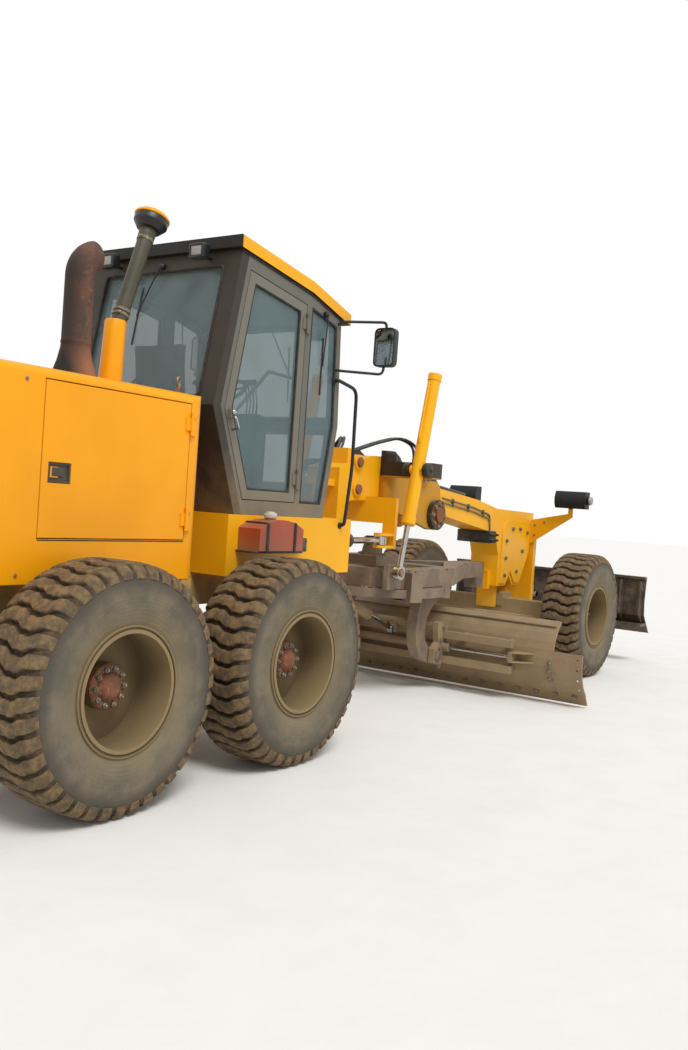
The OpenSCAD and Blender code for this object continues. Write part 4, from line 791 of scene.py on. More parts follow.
def bolted(name, body, matrices, size, material="zinc"):
    """Bolts' heads on a body, one at each matrix, in one piece."""
    return done(copies(hex_bolt(size), name, matrices), body, material, outward=False)


# Finishes of the solids


def both(name):
    """A node's two names, left and right."""
    return [f"{name}_{side}" for side in SIDES]


NODE_FINISH = {
    "low_enamel": ["rear_frame"],
    "axle_enamel": ["rear_axle", "front_axle", "tie_rod", *both("knuckle")],
    "black_enamel": ["engine_block", "rear_grille", "cab_trim", "dozer_barrel", "intake_stack",
                     *both("turn_barrel")],
    "hood_enamel": ["hood", *both("hood_door")],
    "frame_enamel": ["front_frame", *both("lift_barrel")],
    "base_enamel": ["cab_base"],
    "lamp_enamel": ["headlamps"],
    "saddle_enamel": ["lift_saddle"],
    "roof_enamel": ["cab_roof"],
    "cab_enamel": ["cab_frame"],
    "door_enamel": both("cab_door"),
    "exhaust_steel": ["exhaust"],
    "tank_plastic": ["fluid_tank"],
    "pane_glass": ["cab_glass", *both("door_glass")],
    "grey_plastic": ["console"],
    "hose_rubber": ["saddle_hoses"],
    "seat_vinyl": ["seat"],
    "drawbar_plate": ["drawbar", "turning_circle"],
    "blade_plate": ["moldboard", "blade_carrier", "tilt_barrel", "shift_barrel"],
    "dozer_plate": ["dozer_blade"],
    "chrome": ["dozer_rod", "tilt_rod", "shift_rod", *both("lift_rod"), *both("turn_rod")],
    "rim_enamel": ["rim_" + w for w in WHEELS],
    "tyre_rubber": ["tyre_" + w for w in WHEELS],
}


class GRADER_OT_finishes(bpy.types.Operator):
    """Give every solid its finish"""

    bl_idname = "grader.finishes"
    bl_label = "Finishes"

    def execute(self, context):
        left = set(frame["nodes"])
        for name, nodes in NODE_FINISH.items():
            for node in nodes:
                solid = frame["nodes"][node]
                if not solid.material_slots:
                    solid.data.materials.append(None)
                for slot in solid.material_slots:
                    slot.material = finish(name)
                left.discard(node)
        if left:
            raise RuntimeError(f"solids without a finish: {sorted(left)}")
        return {"FINISHED"}


# Wheels

BEAD_R, FLOOR_R, TREAD_R = 0.3185, 0.6455, 0.6738
# Half of the tyre's section, from the bead to its middle: distance along the axle and radius
SIDE_WALL = [
    (0.1810, BEAD_R), (0.1865, 0.345), (0.196, 0.370), (0.2115, 0.410), (0.2205, 0.455),
    (0.2222, 0.500), (0.2200, 0.545), (0.2150, 0.585), (0.2085, 0.610), (0.2010, 0.628),
    (0.1880, 0.639), (0.150, 0.643), (0.080, 0.645), (0.0, FLOOR_R),
]
# Crown of a tread bar from the middle to its end: distance along the axle and radius
CROWN = [(0.0, TREAD_R), (0.12, 0.6728), (0.165, 0.669), (0.190, 0.6590), (0.206, 0.641),
         (0.2135, 0.618), (0.2180, 0.592)]


def on_crown(share):
    """The place and outward normal on the crown at a share of its length, by arc."""
    lengths = [math.dist(a, b) for a, b in zip(CROWN, CROWN[1:])]
    left = share * sum(lengths)
    for (y0, r0), (y1, r1), length in zip(CROWN, CROWN[1:], lengths):
        if left <= length + 1e-9:
            t = left / length
            normal = (r0 - r1) / length, (y1 - y0) / length
            return (y0 + (y1 - y0) * t, r0 + (r1 - r0) * t), normal
        left -= length
    raise RuntimeError("the crown ended early")


def tread_bar(count, wave):
    """One wavy bar at the top of a tyre round the Y axis: a sheet drawn down to a block and
    bent over the crown."""
    bar = start("grid", "tread_bar", x_subdivisions=4, y_subdivisions=18, size=2)
    extrude((0, 0, -1))
    lone()
    pitch = 2 * math.pi / count
    # a long bend along the whole bar, with short ones of 6 mm in it
    long_wave, short_wave, short_depth = 0.30, 0.085, 0.006
    groove, worn_edge, crown_width, flare = 0.034, 0.004, 0.345, 0.045
    lug = bar.data.attributes.new("lug", "FLOAT", "POINT")
    for i, point in enumerate(bar.data.vertices):
        across, along, deep = point.co.x, point.co.y, -point.co.z
        lug.data[i].value = 1.0 - deep
        side = 1 if along >= 0 else -1
        (y, r), (ny, nr) = on_crown(abs(along))
        edge = 1.0 if abs(across) > 0.9 else 0.0
        sink = deep * groove + (1 - deep) * edge * worn_edge
        if across:
            across = math.copysign(edge + (1 - edge) * abs(across) * 1.72, across)
        y, r = side * (y - ny * sink), r - nr * sink
        bend = wave * math.sin(2 * math.pi * y / long_wave)
        bend += short_depth * math.sin(2 * math.pi * y / short_wave)
        width = pitch * (crown_width + flare * deep) * TREAD_R
        angle = (across * width + bend) / TREAD_R
        point.co = (r * math.sin(angle), y, r * math.cos(angle))
    return bar


def tyre_template():
    """A tyre round the Y axis: a carcass spun from its section, and its bars."""
    count = sizes().tread_bars
    outline = SIDE_WALL + [(-y, r) for y, r in SIDE_WALL[-2::-1]]
    carcass = turned("carcass", outline + [outline[0]], 2 * count, capped=False)
    carcass.data.transform(UPRIGHT_TO_Y)
    bars = copies(tread_bar(count, sizes().tread_wave), "tread", round_spots(count, "Y"))
    whole = joined([carcass, bars], "tyre")
    wall = whole.data.attributes.new("wall", "FLOAT", "POINT")
    for i, point in enumerate(whole.data.vertices):
        radius = math.hypot(point.co.x, point.co.z)
        wall.data[i].value = (radius - BEAD_R) / (FLOOR_R - BEAD_R)
    return whole


UPRIGHT_TO_Y = Matrix.Rotation(math.radians(-90), 4, "X")


def wheel_matrix(wheel):
    """Turns a wheel made round the Y axis, outside towards +Y, to its place."""
    turn = Matrix.Rotation(0 if wheel.endswith("left") else math.pi, 4, "Z")
    return Matrix.Translation(joint_place(f"roll_{wheel}")) @ turn


class GRADER_OT_tyres(bpy.types.Operator):
    """Replace the six plain tyres with wavy-barred ones"""

    bl_idname = "grader.tyres"
    bl_label = "Tyres"

    def execute(self, context):
        template = tyre_template()
        for wheel in WHEELS:
            tyre = copy_of(template, wheel_matrix(wheel), f"{wheel}_tyre")
            done(tyre, f"wheel_{wheel}", "tyre_rubber", smooth=40)
            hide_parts(f"tyre_{wheel}")
        bpy.data.objects.remove(template)
        return {"FINISHED"}


HUB_PLATE = [(0.012, 0.124), (0.032, 0.124), (0.040, 0.116), (0.040, 0.078), (0.060, 0.070),
             (0.074, 0.058), (0.080, 0.036), (0.081, 0.010)]
NUT_CIRCLE, NUT_SEAT = 0.099, 0.039


class GRADER_OT_hubs(bpy.types.Operator):
    """Add a hub plate, its ring of nuts and a valve to each wheel"""

    bl_idname = "grader.hubs"
    bl_label = "Wheel hubs"

    def execute(self, context):
        plate = turned("plate", HUB_PLATE, 40)
        stud = turned("stud", [(0.0, 0.0085), (0.030, 0.0085), (0.033, 0.006)], 12)
        nut = joined([hex_bolt(0.030, 0.75), stud], "nut")
        places = round_spots(sizes().wheel_nuts, "Z", (NUT_CIRCLE, 0, NUT_SEAT))
        nuts = copies(nut, "nuts", places)
        for wheel in WHEELS:
            spot, body = wheel_matrix(wheel), f"wheel_{wheel}"
            done(copy_of(plate, spot @ UPRIGHT_TO_Y, f"{wheel}_hub_plate"), body, "hub_rust")
            done(copy_of(nuts, spot @ UPRIGHT_TO_Y, f"{wheel}_nuts"), body, "zinc", outward=False)
            stem = [(0, -0.050, 0.262), (0, -0.020, 0.262), (0, 0.006, 0.252)]
            valve = tube(f"{wheel}_valve", stem, 0.006, 0.02)
            valve.data.transform(spot)
            done(valve, body, "black_rubber")
        for template in (plate, nuts):
            bpy.data.objects.remove(template)
        return {"FINISHED"}


# Hood and stacks

HOOD_TOP, HOOD_SIDE, HOOD_REAR = 2.335, 0.750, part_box("hood")[0].x
STACK_Y = -0.35
INTAKE_BASE = at(-0.20, STACK_Y, HOOD_TOP)
EXHAUST_BASE = at(-0.48, STACK_Y, HOOD_TOP)
INTAKE_LEAN = Vector((math.sin(math.radians(18)), 0, math.cos(math.radians(18))))
INTAKE_FOOT = [(0, 0.098), (0.010, 0.098), (0.014, 0.094), (0.014, 0.073), (0.30, 0.067),
               (0.405, 0.065), (0.418, 0.060), (0.420, 0.050)]
# Pieces up the intake: finish, sides and rings of height and radius
INTAKE = {
    "tube": ("intake_plastic", 40, [(0, 0.044), (0.02, 0.048), (0.56, 0.048), (0.60, 0.052),
                                    (0.66, 0.056), (0.70, 0.052)]),
    "bowl": ("black_plastic", 48, [(0.66, 0.054), (0.668, 0.078), (0.690, 0.094),
                                   (0.708, 0.108), (0.740, 0.1085), (0.752, 0.104)]),
    "lid": ("hood_enamel", 48, [(0.746, 0.104), (0.748, 0.1135), (0.756, 0.1140),
                                (0.764, 0.109), (0.780, 0.090), (0.796, 0.056),
                                (0.806, 0.026), (0.809, 0.008)]),
}
EXHAUST_PIPE = [(0.0, 0.150), (0.012, 0.150), (0.013, 0.131), (0.06, 0.122), (0.12, 0.103),
                (0.19, 0.088), (0.215, 0.086), (0.221, 0.089), (0.229, 0.089), (0.235, 0.086),
                (0.62, 0.086)]


def foot_bolts(name, base, height, radius, size, material):
    """Six bolts through the foot of a stack."""
    places = ring(base + UP * height, UP, radius, 6, math.pi / 6)
    bolted(name, "rear", spots(places, UP), size, material)


class GRADER_OT_intake(bpy.types.Operator):
    """Replace the plain intake stack: yellow foot, grey tube, clamps and a domed rain cap"""

    bl_idname = "grader.intake"
    bl_label = "Air intake"

    def execute(self, context):
        foot = turned("intake_foot", INTAKE_FOOT, 40)
        place(foot, INTAKE_BASE - UP * 0.002, (0.045, 0, 1))
        done(foot, "rear", "hood_enamel")
        foot_bolts("foot_bolts", INTAKE_BASE, 0.008, 0.084, 0.018, "zinc")
        base = at(-0.165, STACK_Y, HOOD_TOP + 0.392)
        for name, (material, sides, rings) in INTAKE.items():
            piece = place(turned(f"intake_{name}", rings, sides), base, INTAKE_LEAN)
            done(piece, "rear", material)
            if name == "tube":
                self.clamps(base)
        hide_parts("intake_stack")
        return {"FINISHED"}

    def clamps(self, base):
        """Three hose clamps round the tube, each a band with its screw."""
        hoop = [(0, 0.0505), (0.0, 0.0535), (0.018, 0.0535), (0.018, 0.0505)]
        screw = block("screw", (0.048, -0.012, 0.003), (0.066, 0.012, 0.015), 0.003)
        band = joined([turned("band", hoop, 36, capped=False), screw], "band")
        places = [Matrix.Translation(base + INTAKE_LEAN * height) @ stand(INTAKE_LEAN, turn)
                  for height, turn in ((0.055, 2.2), (0.085, -1.0), (0.585, 1.9))]
        done(copies(band, "intake_bands", places), "rear", "zinc", outward=False)


class GRADER_OT_exhaust(bpy.types.Operator):
    """Replace the plain exhaust: a flared foot, a seamed pipe and a bend spun to its mouth"""

    bl_idname = "grader.exhaust"
    bl_label = "Exhaust"

    def execute(self, context):
        bend, angle, top = 0.15, 70, EXHAUST_PIPE[-1][0]
        pipe = edited(turned("exhaust_pipe", EXHAUST_PIPE, 40, capped=False))
        pick("EDGE", lambda edge: all(point.co.z > top - 0.0001 for point in edge.verts))
        bpy.ops.mesh.spin(
            steps=12, angle=math.radians(angle), center=(-bend, 0, top), axis=(0, 1, 0))
        bpy.ops.mesh.select_all(action="SELECT")
        bpy.ops.mesh.remove_doubles(threshold=0.0001)
        bpy.ops.mesh.normals_make_consistent(inside=False)
        apply(pipe, "wall", "SOLIDIFY", thickness=0.007, offset=-1)
        done(place(pipe, EXHAUST_BASE), "rear", "exhaust_steel", outward=False)
        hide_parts("exhaust")
        foot_bolts("exhaust_bolts", EXHAUST_BASE, 0.012, 0.140, 0.020, "hub_rust")
        return {"FINISHED"}


LATCH, LATCH_FLOOR = (-0.8725, 1.781), 0.011
LIFT_EYE_X, REAR_CORNER_Y = 0.085, 0.655
FINS = 72


class GRADER_OT_hood_fittings(bpy.types.Operator):
    """Add latches, hinges' bolts, the lifting rings, tail lamps and the radiator to the hood"""

    bl_idname = "grader.hood_fittings"
    bl_label = "Hood fittings"

    def execute(self, context):
        for name, side in SIDES.items():
            spot, out = on_side(side), (0, side, 0)
            self.latch(name, side)
            # a rubber strip in the seam under the door
            seam = [spot(x, HOOD_SIDE, 1.4195) for x in (-0.995, 0.115)]
            done(tube(f"door_strip_{name}", seam, 0.0032), "rear", "black_rubber")
            self.lift_eye(name, spot(LIFT_EYE_X, REAR_CORNER_Y, HOOD_TOP))
            # tail lamps on the rear corners: how far each stands out and in, half its width,
            # and its foot and top
            for kind, out_by, in_by, half, z0, z1, bevel, material, slot in (
                ("lamp", 0.030, 0.004, 0.050, 1.210, 1.400, 0.006, "black_plastic", None),
                ("red_lens", 0.040, -0.024, 0.043, 1.218, 1.322, 0.005, "red_lens", "red_plastic"),
                ("amber_lens", 0.040, -0.024, 0.043, 1.328, 1.392, 0.005, "amber_lens",
                 "red_plastic"),
            ):
                y = side * REAR_CORNER_Y
                piece = block(f"tail_{kind}_{name}", (HOOD_REAR - out_by, y - half, z0),
                              (HOOD_REAR + in_by, y + half, z1), bevel)
                done(piece, "rear", material)
            places = [spot(x, HOOD_SIDE - 0.001, z)
                      for x in (-1.80, -1.45, -1.12) for z in (1.235, 2.255)]
            bolted(f"hood_bolts_{name}", "rear", spots(places, out), 0.016)
        # radiator behind the grille: a core with upright fins
        low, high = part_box("rear_grille")
        core = block("radiator_core", (high.x + 0.020, low.y + 0.02, low.z + 0.02),
                     (high.x + 0.07, high.y - 0.02, high.z - 0.02))
        done(core, "rear", "black_enamel")
        fin = block("fin", (0, -0.0015, low.z + 0.03), (0.016, 0.0015, high.z - 0.03), 0)
        places = [(high.x + 0.016, y, 0) for y in row(low.y + 0.04, high.y - 0.04, FINS)]
        done(copies(fin, "radiator_fins", moved(places)), "rear", "zinc", outward=False)
        return {"FINISHED"}

    def latch(self, name, side):
        """A dished latch with a paddle, in the door's recess."""
        middle = at(LATCH[0], side * (HOOD_SIDE - LATCH_FLOOR), LATCH[1])
        dish = slab_round(f"hood_latch_{name}", middle, (0.150, 0.014, 0.106))
        inset(facing((0, side, 0)), 0.010, (0, -side * 0.008, 0))
        paddle = block("paddle", (-0.050, -0.004, -0.020), (0.030, 0.004, 0.030), 0.003)
        paddle.data.transform(Matrix.Translation(middle + LEFT * side * 0.005))
        piece = joined([dish, paddle], f"hood_latch_{name}")
        done(piece, f"hood_door_{name}", "black_plastic")

    def lift_eye(self, name, foot):
        """An eye at the hood's top front corner, on a pin."""
        rings = [(-0.01, 0.013), (0.040, 0.013), (0.048, 0.018), (0.056, 0.013)]
        pin = place(turned("pin", rings, 16), foot)
        bpy.ops.mesh.primitive_torus_add(
            major_radius=0.024, minor_radius=0.0065, major_segments=28, minor_segments=10)
        eye = bpy.context.object
        across = Matrix.Rotation(math.pi / 2, 4, "X") @ Matrix.Rotation(0.4, 4, "Y")
        eye.data.transform(Matrix.Translation(foot + UP * 0.076) @ across)
        done(joined([pin, eye], f"lift_eye_{name}"), "rear", "zinc")


# Cab


def drawn_in(corners, distance):
    """A closed outline drawn in by a distance; its points run anticlockwise."""
    made, count = [], len(corners)
    for i in range(count):
        a, b, c = (Vector(corners[(i + k) % count]) for k in (-1, 0, 1))
        u, v = (b - a).normalized(), (c - b).normalized()
        m, n = Vector((-u.y, u.x)), Vector((-v.y, v.x))
        made.append(b + distance * (m + n) / (1 + m.dot(n)))
    return made


# Outlines of the openings in the cab's side, forward and up
DOOR = [(0.712, 1.70), (1.30, 1.70), (1.30, 3.13), (0.65, 3.23), (0.475, 2.29)]
SIDE_PANE = [(1.36, 1.70), (1.625, 1.70), (1.725, 2.30), (1.69, 3.04), (1.36, 3.125)]
# Windows across the cab: half width, foot and top, each forward and up
CROSS_PANES = {
    "screen_seal_upper": (0.62, (1.774, 2.36), (1.741, 3.04)),
    "screen_seal_lower": (0.62, (1.672, 1.70), (1.763, 2.24)),
    "rear_seal": (0.56, (0.375, 2.36), (0.540, 3.24)),
}


def seal(name, points):
    """A rubber bead round a window, closed on itself, through places in order."""
    points = [Vector(p) for p in points]
    first = (points[0] + points[-1]) / 2
    return tube(name, [first, *points, first], sizes().seal_width / 2.6, 0.03, 3)


class GRADER_OT_cab_seals(bpy.types.Operator):
    """Put rubber seals round the cab's windows and a dark drip strip under the roof"""

    bl_idname = "grader.cab_seals"
    bl_label = "Cab seals"

    def execute(self, context):
        for name, side in SIDES.items():
            spot, door = on_side(side), f"cab_door_{name}"
            for kind, body, corners, distance in (("door", door, DOOR, 0.074),
                                                  ("side", "rear", SIDE_PANE, 0.008)):
                pane = [spot(x, 0.692, z) for x, z in drawn_in(corners, distance)]
                done(seal(f"{kind}_seal_{name}", pane), body, "black_rubber")
            edge = [spot(x, 0.703, z) for x, z in ((0.56, 3.333), (1.345, 3.208), (1.735, 3.094))]
            done(tube(f"roof_strip_{name}", edge, 0.007), "rear", "black_rubber")
            # chrome button and handle over the latch
            rings = [(0.0, 0.016), (0.012, 0.016), (0.016, 0.013), (0.018, 0.005)]
            knob = place(turned("knob", rings, 20), spot(0.531, 0.731, 2.270), (0, side, 0))
            grip = tube("grip", [spot(0.531, 0.728, 2.242), spot(0.533, 0.756, 2.235),
                                 spot(0.566, 0.760, 2.165), spot(0.570, 0.697, 2.158)],
                        0.008, 0.015)
            done(joined([knob, grip], f"door_handle_{name}"), door, "chrome")
        for name, (half, (x0, z0), (x1, z1)) in CROSS_PANES.items():
            corners = [at(x0, -half, z0), at(x0, half, z0), at(x1, half, z1), at(x1, -half, z1)]
            done(seal(name, corners), "rear", "black_rubber")
        return {"FINISHED"}


def wiper(name, pivot, tip, out):
    """An arm from its pivot to a blade across its tip, standing off the pane."""
    out = Vector(out).normalized()
    along = (tip - pivot).normalized()
    joint, rise = out * 0.030, out * 0.006
    arm = tube("arm", [pivot + joint, pivot + along * 0.08 + joint, tip + out * 0.016],
               0.0055, 0.02)
    rings = [(-0.004, 0.022), (0.022, 0.022), (0.034, 0.015), (0.038, 0.008)]
    boss = place(turned("boss", rings, 20), pivot, out)
    upward = (UP - out * UP.dot(out)).normalized() * 0.21
    blade = tube("blade", [tip - upward + rise, tip + upward + rise], 0.0065, 0.02)
    return done(joined([arm, boss, blade], name), "rear", "black_plastic")


class GRADER_OT_wipers(bpy.types.Operator):
    """Fit wipers to the windscreen, the rear window and the front side windows"""

    bl_idname = "grader.wipers"
    bl_label = "Wipers"

    def execute(self, context):
        wiper("screen_wiper", at(1.737, 0.0, 3.062), at(1.743, -0.22, 2.70), (1, 0, 0.056))
        wiper("rear_wiper", at(0.546, 0.0, 3.272), at(0.505, 0.18, 2.93), (-1, 0, 0.187))
        for name, side in SIDES.items():
            spot = on_side(side)
            pivot, tip = spot(1.52, 0.700, 3.10), spot(1.53, 0.686, 2.72)
            wiper(f"side_wiper_{name}", pivot, tip, (0, side, 0))
        return {"FINISHED"}


def lamp(name, middle, size, axis):
    """A square lamp: a rounded housing, a dished face and a lens in it."""
    axis = Vector(axis)
    housing = slab_round(name, middle, size)
    bevelled(0.010, 3)
    inset(lambda face: face.normal.dot(axis) > 0.99 and face.calc_area() > 0.003,
          0.007, -axis * 0.010)
    lone()
    across = Vector([0.0 if a else s / 2 - 0.019 for a, s in zip(axis, size)])
    face = middle + axis * size[0] / 2 - axis * 0.0065
    reach = across + FORWARD * 0.0045
    return housing, block(name + "_lens", face - reach, face + reach)


class GRADER_OT_cab_trim(bpy.types.Operator):
    """Replace the plain mirrors, handrails and work lamps of the cab with detailed ones"""

    bl_idname = "grader.cab_trim"
    bl_label = "Mirrors, handrails and lamps"

    def execute(self, context):
        for name, side in SIDES.items():
            spot = on_side(side)
            self.rails(name, side, spot)
            self.mirror(name, spot)
            # place of each work lamp, its size, its axis and where its stem ends
            for where, middle, size, facing_x, foot in (
                ("rear", (0.438, 0.425, 3.32), (0.074, 0.130, 0.100), -1, (0.548, 0.425, 3.295)),
                ("front", (1.80, 0.425, 3.015), (0.070, 0.130, 0.100), 1, (1.79, 0.425, 3.086)),
            ):
                full, middle, axis = f"work_lamp_{where}_{name}", spot(*middle), FORWARD * facing_x
                housing, pane = lamp(full, middle, size, axis)
                path = [middle - axis * 0.03, middle - axis * 0.045 - UP * 0.02, spot(*foot)]
                housing = joined([housing, tube("stem", path, 0.011, 0.02)], full)
                done(housing, "rear", "black_plastic")
                done(pane, "rear", "clear_lens")
        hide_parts("cab_trim")
        return {"FINISHED"}

    def rails(self, name, side, spot):
        """A handrail on two round feet, and the mirror's two arms."""
        path = [spot(1.70, 0.700, 2.64), spot(1.70, 0.742, 2.64), spot(1.945, 0.742, 2.60),
                spot(1.955, 0.742, 2.00), spot(1.90, 0.742, 1.56), spot(1.90, 0.699, 1.55)]
        rail = tube("rail", path, 0.0135, 0.07, 5)
        foot = turned("foot", [(0, 0.026), (0.005, 0.026), (0.006, 0.022)], 20)
        ends = [spot(1.70, 0.700, 2.64), spot(1.90, 0.700, 1.55)]
        feet = copies(foot, "feet", spots(ends, (0, side, 0)))
        done(joined([rail, feet], f"handrail_{name}"), "rear", "black_enamel")
        upper = [spot(1.70, 0.699, 3.06), spot(1.72, 0.745, 3.085), spot(1.985, 0.945, 3.120),
                 spot(1.992, 0.946, 3.06)]
        lower = [spot(1.70, 0.699, 2.72), spot(1.72, 0.745, 2.715), spot(1.975, 0.945, 2.722),
                 spot(1.992, 0.946, 2.80)]
        arms = [tube("arm", upper, 0.0105, 0.03, 5), tube("arm", lower, 0.0105, 0.04, 5)]
        done(joined(arms, f"mirror_arms_{name}"), "rear", "black_enamel")

    def mirror(self, name, spot):
        """A rounded mirror shell, hollowed towards the driver, and its glass."""
        width, height = 0.182, 0.296
        shell = slab_round(f"mirror_{name}", spot(1.998, 0.946, 2.930), (0.056, width, height))
        pick("EDGE", longer(0, 0.02))
        bevelled(0.040, 5)
        inset(facing((1, 0, 0)), 0.020)
        bpy.ops.transform.translate(value=(0.016, 0, 0))
        inset(facing((-1, 0, 0)), 0.010, (0.006, 0, 0))
        done(shell, "rear", "black_plastic")
        glass = slab_round(f"mirror_glass_{name}", spot(1.975, 0.946, 2.930),
                           (0.004, width - 0.024, height - 0.028))
        pick("EDGE", longer(0, 0.002))
        bevelled(0.028, 5)
        done(glass, "rear", "mirror_glass")


# Treads of the ladder: height of each, and the pitch of its raised dimples
TREADS, DIMPLE_PITCH = (0.664, 0.984, 1.304), 0.030
TANK_CAP = [(-0.026, 0.0425), (0.004, 0.0425), (0.010, 0.039), (0.012, 0.030), (0.018, 0.026),
            (0.020, 0.010)]


class GRADER_OT_cab_side(bpy.types.Operator):
    """Add the tank's cap and straps, the box beside it and the ladder's treads"""

    bl_idname = "grader.cab_side"
    bl_label = "Tank and ladder fittings"

    def execute(self, context):
        low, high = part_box("fluid_tank")
        rib = block("rib", (0.0415, -0.003, -0.024), (0.0455, 0.003, 0.002), 0.001)
        cap = joined([turned("cap", TANK_CAP, 32), copies(rib, "ribs", round_spots(24))],
                     "tank_cap")
        done(place(cap, at(0.916, -0.795, high.z)), "rear", "pale_plastic")
        for n, share in enumerate((0.17, 0.80)):
            x = low.x + (high.x - low.x) * share
            # the tank's top is arched
            top = low.z + 0.150 + 0.062 * (1 - (2 * share - 1) ** 2) + 0.004
            path = [(0, low.y - 0.003, low.z - 0.004), (0, low.y - 0.003, top),
                    (0, high.y - 0.002, top)]
            strap = tube(f"tank_strap_{n}", path, 0.006, 0.012)
            strap.data.transform(Matrix.Translation((x, 0, 0)) @ Matrix.Diagonal((2.4, 1, 1, 1)))
            done(strap, "rear", "black_enamel")
        shelf = block("tank_shelf", (low.x - 0.02, low.y + 0.01, low.z - 0.016),
                      (high.x + 0.02, high.y, low.z - 0.001), 0.003)
        done(shelf, "rear", "black_enamel")
        box = block("box", at(1.20, -0.795, 1.355), at(1.36, -0.700, 1.455), 0.006)
        lid = block("lid", at(1.208, -0.801, 1.363), at(1.352, -0.793, 1.447))
        done(joined([box, lid], "side_box"), "rear", "black_plastic")
        places = [at(x, -0.801, z) for x in (1.222, 1.338) for z in (1.377, 1.433)]
        bolted("lid_bolts", "rear", spots(places, (0, -1, 0)), 0.014)
        dimple = turned("dimple", [(0, 0.009), (0.004, 0.007), (0.005, 0.003)], 10)
        places = [at(1.61 + DIMPLE_PITCH * i, 0.735 + DIMPLE_PITCH * j, z)
                  for z in TREADS for i in range(8) for j in range(4)]
        done(copies(dimple, "tread_dimples", moved(places)), "rear", "zinc", outward=False)
        return {"FINISHED"}


# Inside the cab

SEAT_REAR, SEAT_FOOT_X = at(0.60, 0, 2.12), 0.85


def pad(name, low, high, crown, lean=None):
    """A seat cushion: a block blown up like stuffed cloth; it leans, or rests on its floor."""
    piece = block(name, low, high, 0.022, 3)
    apply(piece, "skin", "REMESH", mode="VOXEL", voxel_size=0.006)
    rest = [v.co.copy() for v in piece.data.vertices]
    cloth = piece.modifiers.new("stuffing", "CLOTH")
    cloth.settings.use_pressure = True
    cloth.settings.uniform_pressure_force = 4
    cloth.settings.effector_weights.gravity = 0
    cloth.settings.quality = 4
    cloth.collision_settings.use_collision = False
    scene = bpy.context.scene
    for step in range(1, 21):
        scene.frame_set(step)
    bpy.ops.object.modifier_apply(modifier="stuffing")
    scene.frame_set(1)
    floor = min(v.z for v in rest) + 0.004
    for point, was in zip(piece.data.vertices, rest):
        swell = point.co - was
        if swell.length > crown:
            point.co = was + swell.normalized() * crown
        # the lower face rests on its pan, so it stays flat
        if lean is None and was.z < floor:
            point.co.z = was.z
    apply(piece, "smooth", "SMOOTH", iterations=4, factor=0.5)
    if lean:
        piece.data.transform(lean)
    return piece


class GRADER_OT_seat(bpy.types.Operator):
    """Replace the plain seat: stuffed cushions with piping, arm rests and a bellows foot"""

    bl_idname = "grader.seat"
    bl_label = "Seat"

    def execute(self, context):
        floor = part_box("seat")[0].z
        cushion = pad("seat_cushion", at(0.665, -0.235, 2.045), at(1.045, 0.235, 2.125), 0.014)
        about = Matrix.Translation(SEAT_REAR)
        lean = about @ Matrix.Rotation(math.radians(-7), 4, "Y") @ about.inverted()
        back = pad("seat_back", at(0.585, -0.225, 2.062), at(0.665, 0.225, 2.745), 0.014, lean)
        for piece in (cushion, back):
            done(piece, "rear", "seat_vinyl", smooth=60, outward=False)
        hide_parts("seat")
        rim = [(0.668, -0.232), (1.042, -0.232), (1.042, 0.232), (0.668, 0.232)]
        piping = seal("seat_piping", [at(x, y, 2.118) for x, y in rim])
        done(piping, "rear", "black_rubber")
        pan = block("pan", at(0.580, -0.240, 2.020), at(1.050, 0.240, 2.048), 0.006)
        plate = block("plate", at(0.70, -0.17, floor), at(1.00, 0.17, floor + 0.05), 0.006)
        done(joined([pan, plate], "seat_frame"), "rear", "black_enamel")
        rise = row(0, 2.025 - floor - 0.05, 17)
        folds = [(height, 0.162 if k % 2 else 0.142) for k, height in enumerate(rise)]
        foot = place(turned("seat_bellows", folds, 32), at(SEAT_FOOT_X, 0, floor + 0.05))
        done(foot, "rear", "black_rubber")
        for name, side in SIDES.items():
            spot, half = on_side(side), Vector((0.15, 0.030, 0.020))
            middle = spot(0.83, 0.285, 2.310)
            arm = block("arm", middle - half, middle + half, 0.014, 4)
            path = [spot(0.625, 0.215, 2.300), spot(0.635, 0.285, 2.300), spot(0.72, 0.285, 2.305)]
            arm = joined([arm, tube("post", path, 0.012, 0.02)], f"arm_rest_{name}")
            done(arm, "rear", "black_plastic")
        return {"FINISHED"}


class GRADER_OT_levers(bpy.types.Operator):
    """Add the rows of control levers beside the steering column"""

    bl_idname = "grader.levers"
    bl_label = "Control levers"

    def execute(self, context):
        stick = tube("stick", [(0, 0, 0), (0.01, 0, 0.10), (-0.035, 0, 0.235)], 0.006, 0.03, 3)
        rings = [(0, 0.008), (0.006, 0.015), (0.022, 0.018), (0.038, 0.015), (0.045, 0.007)]
        knob = place(turned("knob", rings, 16), (-0.035, 0, 0.228), (-0.1, 0, 1))
        places = [at(1.44, side * (0.075 + 0.032 * k), 2.338) for side in (1, -1) for k in range(4)]
        levers = copies(joined([stick, knob], "lever"), "levers", moved(places))
        done(levers, "rear", "black_plastic", outward=False)
        gaiter = block("lever_gaiters", at(1.405, -0.205, 2.334), at(1.475, 0.205, 2.352), 0.006)
        done(gaiter, "rear", "black_rubber")
        return {"FINISHED"}


# Front frame and its fittings

LAMP_Z = 1.945
# Round lamps on each side: kind, place across, radius and finish of the lens
ROUND_LAMPS = (("main", 0.640, 0.085, "clear_lens"), ("turn", 0.810, 0.050, "amber_lens"))


